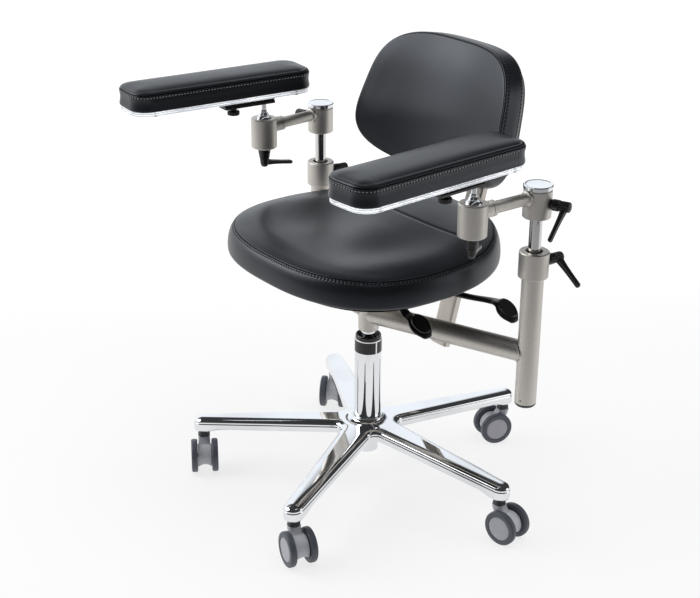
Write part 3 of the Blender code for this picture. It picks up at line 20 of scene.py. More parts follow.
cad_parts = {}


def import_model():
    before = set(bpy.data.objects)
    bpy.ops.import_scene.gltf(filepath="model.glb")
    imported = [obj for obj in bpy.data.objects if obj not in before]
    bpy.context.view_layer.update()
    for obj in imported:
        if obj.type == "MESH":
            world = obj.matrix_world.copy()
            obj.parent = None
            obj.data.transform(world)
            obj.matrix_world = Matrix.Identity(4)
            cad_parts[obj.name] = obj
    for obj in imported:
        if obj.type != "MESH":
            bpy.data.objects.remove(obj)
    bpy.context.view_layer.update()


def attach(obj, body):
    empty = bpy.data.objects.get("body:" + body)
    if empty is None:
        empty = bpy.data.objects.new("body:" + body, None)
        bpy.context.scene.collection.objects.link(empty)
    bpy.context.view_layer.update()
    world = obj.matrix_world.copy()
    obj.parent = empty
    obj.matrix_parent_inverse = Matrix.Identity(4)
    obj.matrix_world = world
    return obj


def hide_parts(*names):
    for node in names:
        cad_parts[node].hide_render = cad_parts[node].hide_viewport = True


log = logging.getLogger("laboratory_chair")

Corner = tuple[float, float, float]
Pair = tuple[float, float]
Colour = tuple[float, float, float]
Piece = bpy.types.Object


# Shader maths
class Socket:
    """One output of a shader node, with the arithmetic that adds Math nodes."""

    def __init__(self, sheet: NodeSheet, output: bpy.types.NodeSocket) -> None:
        """Hold a node's output and the sheet that it is on."""
        self.sheet = sheet
        self.output = output

    def __add__(self, other: Socket | float) -> Socket:
        """Add a value."""
        return self.sheet.maths("ADD", self, other)

    __radd__ = __add__

    def __sub__(self, other: Socket | float) -> Socket:
        """Take a value away."""
        return self.sheet.maths("SUBTRACT", self, other)

    def __rsub__(self, other: Socket | float) -> Socket:
        """Take this from a value."""
        return self.sheet.maths("SUBTRACT", other, self)

    def __mul__(self, other: Socket | float) -> Socket:
        """Multiply by a value."""
        return self.sheet.maths("MULTIPLY", self, other)

    __rmul__ = __mul__

    def __truediv__(self, other: Socket | float) -> Socket:
        """Divide by a value."""
        return self.sheet.maths("DIVIDE", self, other)

    def __rtruediv__(self, other: Socket | float) -> Socket:
        """Divide a value by this."""
        return self.sheet.maths("DIVIDE", other, self)

    def ramp(self, low: float, high: float) -> Socket:
        """Rise smoothly from 0 at one value to 1 at another."""
        settings = {"interpolation_type": "SMOOTHSTEP"}
        return self.sheet.node("ShaderNodeMapRange", settings,
            {"Value": self, "From Min": low, "From Max": high})


class NodeSheet:
    """The nodes of one material or of the world."""

    def __init__(self, tree: bpy.types.NodeTree) -> None:
        """Take a node tree to work on."""
        self.tree = tree

    def node(self, kind: str, settings: dict | None = None, sockets: dict | None = None,
             output: int | str = 0) -> Socket:
        """Add a node.

        Args:
            kind: the node's type.
            settings: its properties, set first.
            sockets: values or links of its inputs, by name or number.
            output: which output to give back.

        Returns:
            The wanted output.
        """
        made = self.tree.nodes.new(kind)
        for key, value in (settings or {}).items():
            setattr(made, key, value)
        self.fill(made, sockets or {})
        return Socket(self, made.outputs[output])

    def fill(self, target: bpy.types.Node, sockets: dict) -> None:
        """Set or link several inputs of a node, by name or number."""
        for key, value in sockets.items():
            self.feed(target.inputs[key], value)

    def feed(self, target: bpy.types.NodeSocket, value: Socket | float | Sequence[float]) -> None:
        """Link a socket to an input, or set the input's value."""
        if isinstance(value, Socket):
            self.tree.links.new(value.output, target)
        else:
            target.default_value = value

    def maths(self, operation: str, *values: Socket | float) -> Socket:
        """Add one Math node."""
        return self.node("ShaderNodeMath", {"operation": operation}, dict(enumerate(values)))

    def mix(self, share: Socket, first: Sequence[float] | Socket, second: Sequence[float] | Socket) -> Socket:
        """Mix two colours."""
        full = [(*c, 1.0) if isinstance(c, tuple) else c for c in (first, second)]
        return self.node("ShaderNodeMix", {"data_type": "RGBA"}, {0: share, 6: full[0], 7: full[1]}, 2)

    def noise(self, scale: float, detail: float = 2.0, place: Socket | None = None) -> Socket:
        """Give noise of a scale, on the piece's own coordinates unless another place is given."""
        return self.node("ShaderNodeTexNoise", None, {"Vector": place or self.place(), "Scale": scale,
            "Detail": detail})

    def part(self, vector: Socket, axis: str) -> Socket:
        """Give one coordinate of a vector."""
        return self.node("ShaderNodeSeparateXYZ", None, {"Vector": vector}, axis)

    def along(self, vector: Socket, way: Vector) -> Socket:
        """Give how far a vector reaches along a direction."""
        return self.node("ShaderNodeVectorMath", {"operation": "DOT_PRODUCT"}, {0: vector, 1: way}, "Value")

    def place(self) -> Socket:
        """Give the piece's own coordinates."""
        return self.node("ShaderNodeTexCoord", output="Object")

    def bump(self, height: Socket, distance: float, strength: float = 1.0,
             under: Socket | None = None) -> Socket:
        """Turn a height into a normal, on top of another normal if one is given."""
        sockets = {"Height": height, "Distance": distance, "Strength": strength}
        if under is not None:
            sockets["Normal"] = under
        return self.node("ShaderNodeBump", None, sockets)


# Finishes
@dataclass(frozen=True)
class Finish:
    """A finish of the chair: its name, the record's slot that it belongs to, and its main values."""

    name: str
    slot: str
    colour: Colour
    roughness: float

    def shade(self, sheet: NodeSheet, shader: bpy.types.Node) -> None:
        """Add the finish's own nodes; each kind of finish has its own."""

    def material(self) -> bpy.types.Material:
        """Give the finish's material, made the first time that it is asked for."""
        made = bpy.data.materials.get(f"look_{self.name}")
        if made is None:
            made = bpy.data.materials.new(f"look_{self.name}")
            made.use_nodes = True
            shader = made.node_tree.nodes["Principled BSDF"]
            sheet = NodeSheet(made.node_tree)
            sheet.fill(shader, {"Base Color": (*self.colour, 1.0), "Roughness": self.roughness})
            self.shade(sheet, shader)
        return made


@dataclass(frozen=True)
class BrightMetal(Finish):
    """Polished or plated metal: a mirror with faint buffing marks and smears."""

    waviness: float = 0.00002
    smear: float = 0.05

    def shade(self, sheet: NodeSheet, shader: bpy.types.Node) -> None:
        """Add the slow waves of the polish, fine wiping marks and slightly duller patches."""
        cloud = sheet.noise(9.0, 3.0).ramp(0.42, 0.7)
        deep = tuple(0.9 * c for c in self.colour)
        sheet.fill(shader, {"Metallic": 1.0, "Roughness": self.roughness + self.smear * cloud *
            sheet.noise(420.0, 2.0), "Base Color": sheet.mix(cloud, self.colour, deep),
            "Normal": sheet.bump(sheet.noise(38.0, 1.0), self.waviness)})


@dataclass(frozen=True)
class SatinMetal(Finish):
    """Bead-blasted plated metal: an even, fine sparkle over a warm grey."""

    grain: float = 0.00006

    def shade(self, sheet: NodeSheet, shader: bpy.types.Node) -> None:
        """Add the blasted grain, its sparkle and a slow drift of tone."""
        grain = sheet.noise(1500.0, 3.0)
        drift = sheet.noise(14.0, 2.0).ramp(0.3, 0.75)
        light = tuple(min(1.0, 1.13 * c) for c in self.colour)
        dark = tuple(0.86 * c for c in self.colour)
        tone = sheet.mix(grain.ramp(0.35, 0.68), dark, light)
        sheet.fill(shader, {"Metallic": 1.0, "Roughness": self.roughness - 0.05 + 0.12 * grain,
            "Base Color": sheet.mix(0.35 * drift, tone, dark), "Normal": sheet.bump(grain, self.grain, 0.6)})


@dataclass(frozen=True)
class Moulding(Finish):
    """Moulded plastic with a fine spark-eroded grain and slightly polished high spots."""

    grain_size: float = 1100.0
    grain: float = 0.00005
    spread: float = 0.1

    def shade(self, sheet: NodeSheet, shader: bpy.types.Node) -> None:
        """Add the grain to the normal and roughness, and faint clouding to the colour."""
        grain = sheet.noise(self.grain_size, 3.0)
        cloud = sheet.noise(22.0, 3.0).ramp(0.35, 0.7)
        pale = tuple(min(1.0, 1.1 * c + 0.002) for c in self.colour)
        sheet.fill(shader, {"Base Color": sheet.mix(cloud, self.colour, pale),
            "Normal": sheet.bump(grain, self.grain, 0.5),
            "Roughness": self.roughness + self.spread * (grain - 0.5)})


@dataclass(frozen=True)
class Leatherette(Finish):
    """Coated upholstery: a pebble grain, a soft sheen, puckers along each stitched row, and painted shade in
    the needle holes and along the seams.

    The piece's "rows" map gives stitches along a row as U, and millimetres from the row as V; its "seams" map
    gives millimetres from the nearest seam as U.
    """

    pucker: float = 0.0005
    hole_shade_half_width: float = 1.5
    seam_shade_half_width: float = 0.9

    def shade(self, sheet: NodeSheet, shader: bpy.types.Node) -> None:
        """Add the grain, the puckers at the stitches, and painted shade: near-black mixed over the needle
        holes and along the seams.
        """
        rows, seams = (sheet.node("ShaderNodeUVMap", {"uv_map": name}) for name in ("rows", "seams"))
        across = sheet.maths("ABSOLUTE", sheet.part(rows, "Y"))
        wave = sheet.maths("COSINE", 2.0 * math.pi * sheet.part(rows, "X"))
        near = 1.0 - across.ramp(0.5, 4.0)
        # The hole mask marks where painted shade darkens the needle holes; the line mask marks where painted
        # shade darkens the seam creases.
        hole = (1.0 - across.ramp(0.45 * self.hole_shade_half_width, self.hole_shade_half_width)) * wave.ramp(-0.1, 0.5)
        line = 1.0 - sheet.part(seams, "X").ramp(0.35, 0.35 + self.seam_shade_half_width)
        cells = sheet.node("ShaderNodeTexVoronoi", {"feature": "SMOOTH_F1"},
            {"Vector": sheet.place(), "Scale": 780.0, "Smoothness": 0.6, "Randomness": 0.9})
        grain = 0.7 * cells + 0.3 * sheet.noise(1900.0, 2.0)
        creases = sheet.noise(46.0, 4.0)
        puckered = sheet.bump(0.5 - 0.5 * wave * near + 0.1 * creases * near, self.pucker)
        worn = sheet.noise(7.0, 3.0).ramp(0.35, 0.75)
        pale = tuple(1.35 * c for c in self.colour)
        sheet.fill(shader, {"Base Color": sheet.mix(worn, self.colour, pale),
            "Roughness": self.roughness + 0.07 * (grain - 0.5) - 0.04 * worn,
            "Normal": sheet.bump(grain, 0.00011, 0.4, puckered), "Specular IOR Level": 0.54,
            "Specular Tint": (0.84, 0.9, 1.0, 1.0)})
        # Painted shade: a near-black diffuse, mixed in by the hole and seam masks, stands in for the shade
        # inside the holes and creases.
        deep = sheet.node("ShaderNodeBsdfDiffuse", None, {"Color": (0.002, 0.002, 0.002, 1.0)})
        whole = sheet.node("ShaderNodeMixShader", None, {0: sheet.maths("MAXIMUM", hole, line),
            1: Socket(sheet, shader.outputs["BSDF"]), 2: deep})
        sheet.feed(sheet.tree.nodes["Material Output"].inputs["Surface"], whole)


@dataclass(frozen=True)
class Thread(Finish):
    """Twisted sewing thread."""

    def shade(self, sheet: NodeSheet, shader: bpy.types.Node) -> None:
        """Add the twist of the plies."""
        twist = sheet.noise(2600.0, 1.0)
        pale = tuple(2.2 * c for c in self.colour)
        sheet.fill(shader, {"Base Color": sheet.mix(twist.ramp(0.35, 0.65), self.colour, pale),
            "Normal": sheet.bump(twist, 0.00008)})


@dataclass(frozen=True)
class Acrylic(Finish):
    """Clear cast acrylic with polished edges, whose bright and dark edge lines are painted light, given as
    colour and as emission.
    """

    # Where the plate's edge lies, which places the painted edge lines.
    low: float = 0.6888
    thickness: float = 0.0075

    def shade(self, sheet: NodeSheet, shader: bpy.types.Node) -> None:
        """Make it clear, with painted bright and dark lines across its edges, given as colour and emission,
        and faint handling marks.
        """
        # Painted light: stripes across the plate's thickness stand in for the reflections in its polished
        # edges, in the base colour and in an emission that makes the plate glow though it is no lamp.
        height = (sheet.part(sheet.place(), "Z") - self.low) / self.thickness
        lines = 0.5 + 0.5 * sheet.maths("COSINE", 4.0 * math.pi * height)
        glow = lines * (0.6 + 0.4 * sheet.noise(14.0, 2.0).ramp(0.38, 0.6))
        marks = sheet.noise(60.0, 5.0).ramp(0.55, 0.8)
        sheet.fill(shader, {"Base Color": sheet.mix(glow, (0.4, 0.42, 0.45), self.colour),
            "Emission Color": sheet.mix(glow, (0.06, 0.06, 0.07), self.colour), "Emission Strength": 0.34,
            "Roughness": self.roughness + 0.06 * marks, "Transmission Weight": 0.6, "IOR": 1.25})


class Finishes(Enum):
    """The chair's finishes."""

    POLISHED = BrightMetal("polished_aluminium", "polished_aluminium", (0.8, 0.81, 0.83), 0.045, 0.00003,
        0.04)
    CHROME = BrightMetal("chrome_plate", "chrome", (0.8, 0.81, 0.83), 0.025, 0.00001, 0.03)
    ROD = BrightMetal("ground_steel", "chrome", (0.68, 0.67, 0.66), 0.1, 0.00001, 0.05)
    STEEL = BrightMetal("zinc_steel", "chrome", (0.62, 0.62, 0.63), 0.2, 0.00002, 0.1)
    SATIN = SatinMetal("satin_nickel", "satin_nickel", (0.63, 0.6, 0.56), 0.47)
    BAR = SatinMetal("satin_nickel_light", "satin_nickel", (0.62, 0.58, 0.53), 0.44)
    BLACK = Moulding("black_moulding", "black_plastic", (0.007, 0.007, 0.0075), 0.34)
    GLOSS_BLACK = Moulding("black_gloss", "black_plastic", (0.008, 0.008, 0.009), 0.16, 300.0, 0.00001, 0.05)
    LABEL = Moulding("black_band", "black_plastic", (0.008, 0.0075, 0.008), 0.28, 500.0, 0.00001, 0.05)
    GREY = Moulding("castor_grey", "castor_grey", (0.5, 0.51, 0.55), 0.38)
    CAP = Moulding("castor_cap_grey", "castor_grey", (0.37, 0.37, 0.41), 0.36)
    DARK_GREY = Moulding("castor_dark_grey", "castor_grey", (0.05, 0.052, 0.056), 0.5)
    TREAD = Moulding("tread_grey", "tread_grey", (0.07, 0.079, 0.099), 0.48, 700.0, 0.00008, 0.15)
    LEATHER = Leatherette("black_leatherette", "black_leatherette", (0.008, 0.0082, 0.0102), 0.37)
    THREAD = Thread("black_thread", "black_leatherette", (0.03, 0.03, 0.033), 0.35)
    # Painted highlight: this pale grey stands in for the glints on the pads' black thread.
    PALE_THREAD = Thread("thread_painted_glint", "black_leatherette", (0.18, 0.18, 0.19), 0.4)
    # The plate's colour is also the colour of its painted edge light.
    CLEAR = Acrylic("clear_acrylic", "clear_acrylic", (0.97, 0.985, 1.0), 0.02)
    BOARD = Moulding("seat_board", "seat_board", (0.02, 0.019, 0.018), 0.7, 160.0, 0.0002, 0.15)

    def dress(self, piece: Piece) -> Piece:
        """Give a piece this finish all over."""
        piece.data.materials.clear()
        piece.data.materials.append(self.value.material())
        return piece


# Modelling
class Ends(Enum):
    """How a skinned form is closed at one end."""

    OPEN = "open"
    FLAT = "flat"
    GRID = "grid"
    POINT = "point"


class Bench:
    """The modelling bench: Blender's operators, used on one piece at a time."""

    @staticmethod
    def only(*pieces: Piece) -> None:
        """Select these pieces alone; the first becomes the active one."""
        bpy.ops.object.select_all(action="DESELECT")
        for piece in pieces:
            piece.select_set(True)
        bpy.context.view_layer.objects.active = pieces[0]

    @staticmethod
    def named(name: str) -> Piece:
        """Name the piece that was just added."""
        piece = bpy.context.object
        piece.name = name
        piece.data.name = name
        return piece

    @classmethod
    def turned(cls, name: str, profile: Sequence[Pair], steps: int = 48, closed: bool = False) -> Piece:
        """Turn a profile about Z on the lathe.

        Args:
            name: the piece's name.
            profile: (radius, height) points, drawn one extrusion after another.
            steps: how many steps the spin takes.
            closed: whether the profile's ends are joined, as for a tube.

        Returns:
            The piece.
        """
        bpy.ops.object.select_all(action="DESELECT")
        bpy.ops.mesh.primitive_plane_add(size=0.001)
        piece = cls.named(name)
        bpy.ops.object.mode_set(mode="EDIT")
        bpy.ops.mesh.merge(type="CENTER")
        last = (0, 0)
        for number, (radius, height) in enumerate(profile):
            move = (radius - last[0], 0, height - last[1])
            if number == 0:
                bpy.ops.transform.translate(value=move)
            else:
                bpy.ops.mesh.extrude_region_move(TRANSFORM_OT_translate={"value": move})
            last = (radius, height)
        if closed:
            bpy.ops.mesh.select_all(action="DESELECT")
            form = bmesh.from_edit_mesh(piece.data)
            form.verts.ensure_lookup_table()
            form.verts[0].select = form.verts[-1].select = True
            bmesh.update_edit_mesh(piece.data)
            bpy.ops.mesh.edge_face_add()
        bpy.ops.mesh.select_all(action="SELECT")
        bpy.ops.mesh.spin(steps=steps, angle=2 * math.pi, center=(0, 0, 0), axis=(0, 0, 1))
        return cls.cleaned(piece)

    @classmethod
    def cleaned(cls, piece: Piece) -> Piece:
        """Merge doubles, point the faces outwards and leave edit mode."""
        bpy.ops.mesh.select_all(action="SELECT")
        bpy.ops.mesh.remove_doubles(threshold=0.000002)
        bpy.ops.mesh.select_all(action="SELECT")
        bpy.ops.mesh.normals_make_consistent(inside=False)
        bpy.ops.object.mode_set(mode="OBJECT")
        return piece

    @classmethod
    def skinned(cls, name: str, rings: Sequence[np.ndarray], ends: tuple[Ends, Ends] = (Ends.FLAT, Ends.FLAT),
                span: int = 0) -> Piece:
        """Extrude a circle of edges through closed rings of points.

        Args:
            name: the piece's name.
            rings: the rings, each with the same number of points.
            ends: how the first and the last ring are closed.
            span: the grid's first side, where an end is a grid.

        Returns:
            The piece.
        """
        bpy.ops.object.select_all(action="DESELECT")
        bpy.ops.mesh.primitive_circle_add(vertices=len(rings[0]), radius=1.0, fill_type="NOTHING")
        piece = cls.named(name)
        for label in ("station", "level"):
            piece.data.attributes.new(label, "INT", "POINT")
        piece.data.attributes["station"].data.foreach_set("value", list(range(len(rings[0]))))
        bpy.ops.object.mode_set(mode="EDIT")
        bpy.ops.mesh.select_all(action="SELECT")
        for level, ring in enumerate(rings):
            if level:
                bpy.ops.mesh.extrude_edges_move()
            form = bmesh.from_edit_mesh(piece.data)
            station, row = (form.verts.layers.int[label] for label in ("station", "level"))
            for vert in form.verts:
                if vert.select:
                    vert.co = ring[vert[station]]
                    vert[row] = level
            bmesh.update_edit_mesh(piece.data)
        for level, end in zip((0, len(rings) - 1), ends):
            cls.close(piece, level, end, span)
        cls.cleaned(piece)
        for label in ("station", "level"):
            piece.data.attributes.remove(piece.data.attributes[label])
        return piece

    @staticmethod
    def close(piece: Piece, level: int, end: Ends, span: int) -> None:
        """Close one ring of a skinned form, in edit mode."""
        if end is Ends.OPEN:
            return
        bpy.ops.mesh.select_all(action="DESELECT")
        form = bmesh.from_edit_mesh(piece.data)
        row = form.verts.layers.int["level"]
        for edge in form.edges:
            if all(vert[row] == level for vert in edge.verts) and len(edge.link_faces) < 2:
                edge.select_set(True)
        bmesh.update_edit_mesh(piece.data)
        if end is Ends.FLAT:
            bpy.ops.mesh.edge_face_add()
        elif end is Ends.GRID:
            bpy.ops.mesh.fill_grid(span=span, use_interp_simple=True)
        else:
            bpy.ops.mesh.extrude_edges_move()
            bpy.ops.mesh.merge(type="CENTER")

    @classmethod
    def swept(cls, name: str, rows: Sequence[Sequence[float]], count: int = 28, steps: int = 6,
              power: float = 2.4, dent: float = 0.0, up: Sequence[float] = (0, 0, 1)) -> Piece:
        """Sweep a rounded section along a smooth line, with round ends.

        Args:
            name: the piece's name.
            rows: (x, y, z, half width, half thickness) at points along the line.
            count: how many points the section has.
            steps: how many rings lie between two rows.
            power: the section's squareness; 2 is an ellipse.
            dent: how far the flat sides are hollowed, as a share of the thickness.
            up: the side that the thickness faces.

        Returns:
            The piece.
        """
        line = smooth_rows(np.array(rows, float), steps)
        ahead = np.gradient(line[:, :3], axis=0)
        ahead /= np.linalg.norm(ahead, axis=1)[:, None]
        swell = [(-1, 0.25), (-1, 0.6), (-1, 0.88)], [(1, 0.88), (1, 0.6), (1, 0.25)]
        stops = [(0, *s) for s in swell[0]] + [(k, 0, 1.0) for k in range(len(line))]
        stops += [(len(line) - 1, *s) for s in swell[1]]
        angle = around(count)
        wide = np.sign(np.cos(angle)) * np.abs(np.cos(angle)) ** (2 / power)
        thick = np.sign(np.sin(angle)) * np.abs(np.sin(angle)) ** (2 / power)
        thick = thick * (1.0 - dent * np.clip(1.0 - (wide / 0.72) ** 2, 0.0, 1.0))
        rings = []
        for k, way, share in stops:
            tangent = Vector(ahead[k])
            side = Vector(up).cross(tangent).normalized()
            top = tangent.cross(side)
            width, depth = line[k, 3:5]
            centre = Vector(line[k, :3]) + tangent * (way * min(width, depth) * math.sqrt(1.0 - share ** 2))
            rings.append(np.array([centre + side * (width * share * w) + top * (depth * share * t)
                for w, t in zip(wide, thick)]))
        return cls.skinned(name, rings, (Ends.POINT, Ends.POINT))

    @classmethod
    def block(cls, name: str, size: Sequence[float], centre: Sequence[float], rounding: float,
              segments: int = 3) -> Piece:
        """Shape a cube into a block and round its edges."""
        bpy.ops.object.select_all(action="DESELECT")
        bpy.ops.mesh.primitive_cube_add(size=1.0)
        piece = cls.named(name)
        bpy.ops.object.mode_set(mode="EDIT")
        bpy.ops.mesh.select_all(action="SELECT")
        bpy.ops.transform.resize(value=tuple(size))
        bpy.ops.transform.translate(value=tuple(centre))
        bpy.ops.mesh.bevel(offset=rounding, segments=segments, affect="EDGES")
        bpy.ops.object.mode_set(mode="OBJECT")
        return piece

    @classmethod
    def modified(cls, piece: Piece, kind: str, **settings: object) -> Piece:
        """Apply a modifier of a kind to a piece, with its settings."""
        cls.only(piece)
        step = piece.modifiers.new(kind, kind)
        for key, value in settings.items():
            setattr(step, key, value)
        bpy.ops.object.modifier_apply(modifier=step.name)
        return piece

    @classmethod
    def combined(cls, target: Piece, operand: Piece, operation: str) -> Piece:
        """Join an operand to the target, or cut it out, with an applied Boolean."""
        cls.modified(target, "BOOLEAN", operation=operation, solver="EXACT", object=operand)
        bpy.data.objects.remove(operand)
        return target

    @classmethod
    def bevelled(cls, piece: Piece, width: float, segments: int = 2, angle: float = 40.0) -> Piece:
        """Round a piece's sharp edges with an applied Bevel."""
        return cls.modified(piece, "BEVEL", width=width, segments=segments, limit_method="ANGLE",
            angle_limit=math.radians(angle))

    @classmethod
    def joined(cls, name: str, *pieces: Piece) -> Piece:
        """Make several pieces one object, each with the finish that it has."""
        cls.only(*pieces)
        if len(pieces) > 1:
            bpy.ops.object.join()
        return cls.named(name)

    @classmethod
    def placed(cls, piece: Piece, frame: Matrix) -> Piece:
        """Move a piece's mesh to a frame, and leave its object at the origin."""
        cls.only(piece)
        piece.matrix_world = frame
        bpy.ops.object.transform_apply(location=True, rotation=True, scale=True)
        return piece

    @classmethod
    def copied(cls, piece: Piece, name: str, frame: Matrix) -> Piece:
        """Copy a piece with a mesh of its own, and move the copy to a frame."""
        cls.only(piece)
        bpy.ops.object.duplicate(linked=False)
        return cls.placed(cls.named(name), frame)

    @classmethod
    def smooth(cls, piece: Piece, angle: float = 35.0) -> Piece:
        """Shade round stretches smooth and let flat faces keep their own normals."""
        cls.only(piece)
        bpy.ops.object.shade_smooth_by_angle(angle=math.radians(angle))
        return cls.modified(piece, "WEIGHTED_NORMAL", keep_sharp=True)


def smooth_rows(rows: np.ndarray, steps: int) -> np.ndarray:
    """Run a smooth line through rows of numbers, with a few steps between each pair."""
    padded = np.vstack([2 * rows[0] - rows[1], rows, 2 * rows[-1] - rows[-2]])
    made = []
    for a, b, c, d in zip(padded, padded[1:], padded[2:], padded[3:]):
        for t in np.linspace(0.0, 1.0, steps, endpoint=False):
            made.append(0.5 * (2 * b + (c - a) * t + (2 * a - 5 * b + 4 * c - d) * t ** 2 + (3 * b - a - 3 * c
                + d) * t ** 3))
    return np.array([*made, rows[-1]])


def rounded(corners: Sequence[Sequence[float]], steps: int = 4, closed: bool = False) -> list[Pair]:
    """Round the corners of a profile.

    Args:
        corners: (radius, height, rounding) of each corner; a sharp one has no rounding.
        steps: how many steps a rounding has.
        closed: whether the last corner joins the first.

    Returns:
        The profile's points.
    """
    points: list[Pair] = []
    count = len(corners)
    for k, (x, y, *rounding) in enumerate(corners):
        if not rounding or (not closed and k in (0, count - 1)):
            points.append((x, y))
            continue
        here = Vector((x, y))
        back = Vector(corners[k - 1][:2]) - here
        ahead = Vector(corners[(k + 1) % count][:2]) - here
        half = back.angle(ahead) / 2
        reach = min(rounding[0] / math.tan(half), 0.48 * back.length, 0.48 * ahead.length)
        start, end = here + back.normalized() * reach, here + ahead.normalized() * reach
        middle = here + (back.normalized() + ahead.normalized()).normalized() * (reach / math.cos(half))
        sweep = math.pi - 2 * half
        for step in range(steps + 1):
            t = step / steps
            spoke = ((start - middle) * math.sin((1 - t) * sweep) + (end - middle) * math.sin(t * sweep))
            points.append(tuple(middle + spoke / math.sin(sweep)))
    return points


def around(count: int) -> np.ndarray:
    """Give angles evenly spaced round a circle."""
    return np.linspace(0.0, 2 * math.pi, count, endpoint=False)


def polar(radius: float, degrees: float) -> Pair:
    """Give the X and Y of a place at a radius and an angle."""
    return radius * math.cos(math.radians(degrees)), radius * math.sin(math.radians(degrees))


def shift(x: float, y: float, z: float) -> Matrix:
    """Give a frame moved from the origin."""
    return Matrix.Translation((x, y, z))


def spun(axis: str, degrees: float) -> Matrix:
    """Give a frame turned about one axis."""
    return Matrix.Rotation(math.radians(degrees), 4, axis)


def flat_rings(outlines: Sequence[np.ndarray], heights: Sequence[float]) -> list[np.ndarray]:
    """Stack plan outlines at heights."""
    return [np.column_stack([outline, np.full(len(outline), height)])
        for outline, height in zip(outlines, heights)]


def lobed(radius: float, depth: float, lobes: int, count: int) -> np.ndarray:
    """Give a round outline with rounded flutes."""
    angle = around(count)
    reach = radius - depth * (0.5 - 0.5 * np.cos(lobes * angle)) ** 2
    return np.column_stack([reach * np.cos(angle), reach * np.sin(angle)])


class SubAssembly:
    """A group of pieces; each is dressed, rides on a body and stands for its CAD nodes."""

    @staticmethod
    def keep(piece: Piece, slot: str, body: str, *nodes: str) -> Piece:
        """Hand a finished piece to the frame.

        Args:
            piece: the finished piece.
            slot: the record's slot that it takes its finish from; not used.
            body: the body that it moves with.
            nodes: the CAD nodes that it stands for.

        Returns:
            The piece.
        """
        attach(piece, body)
        if nodes:
            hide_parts(*nodes)
        log.info("%s rides on %s, %d faces", piece.name, body, len(piece.data.polygons))
        return piece

    def finish(self, piece: Piece, finish: Finishes, body: str, *nodes: str, frame: Matrix | None = None,
               angle: float = 35.0) -> Piece:
        """Dress a piece in one finish, smooth it, set it in its frame and hand it over.

        Args:
            piece: the piece.
            finish: its finish.
            body: the body that it moves with.
            nodes: the CAD nodes that it stands for.
            frame: where it is set; it stays where it is without one.
            angle: up to how many degrees its edges are shaded smooth.

        Returns:
            The piece.
        """
        Bench.smooth(finish.dress(piece), angle)
        if frame is not None:
            Bench.placed(piece, frame)
        return self.keep(piece, finish.value.slot, body, *nodes)


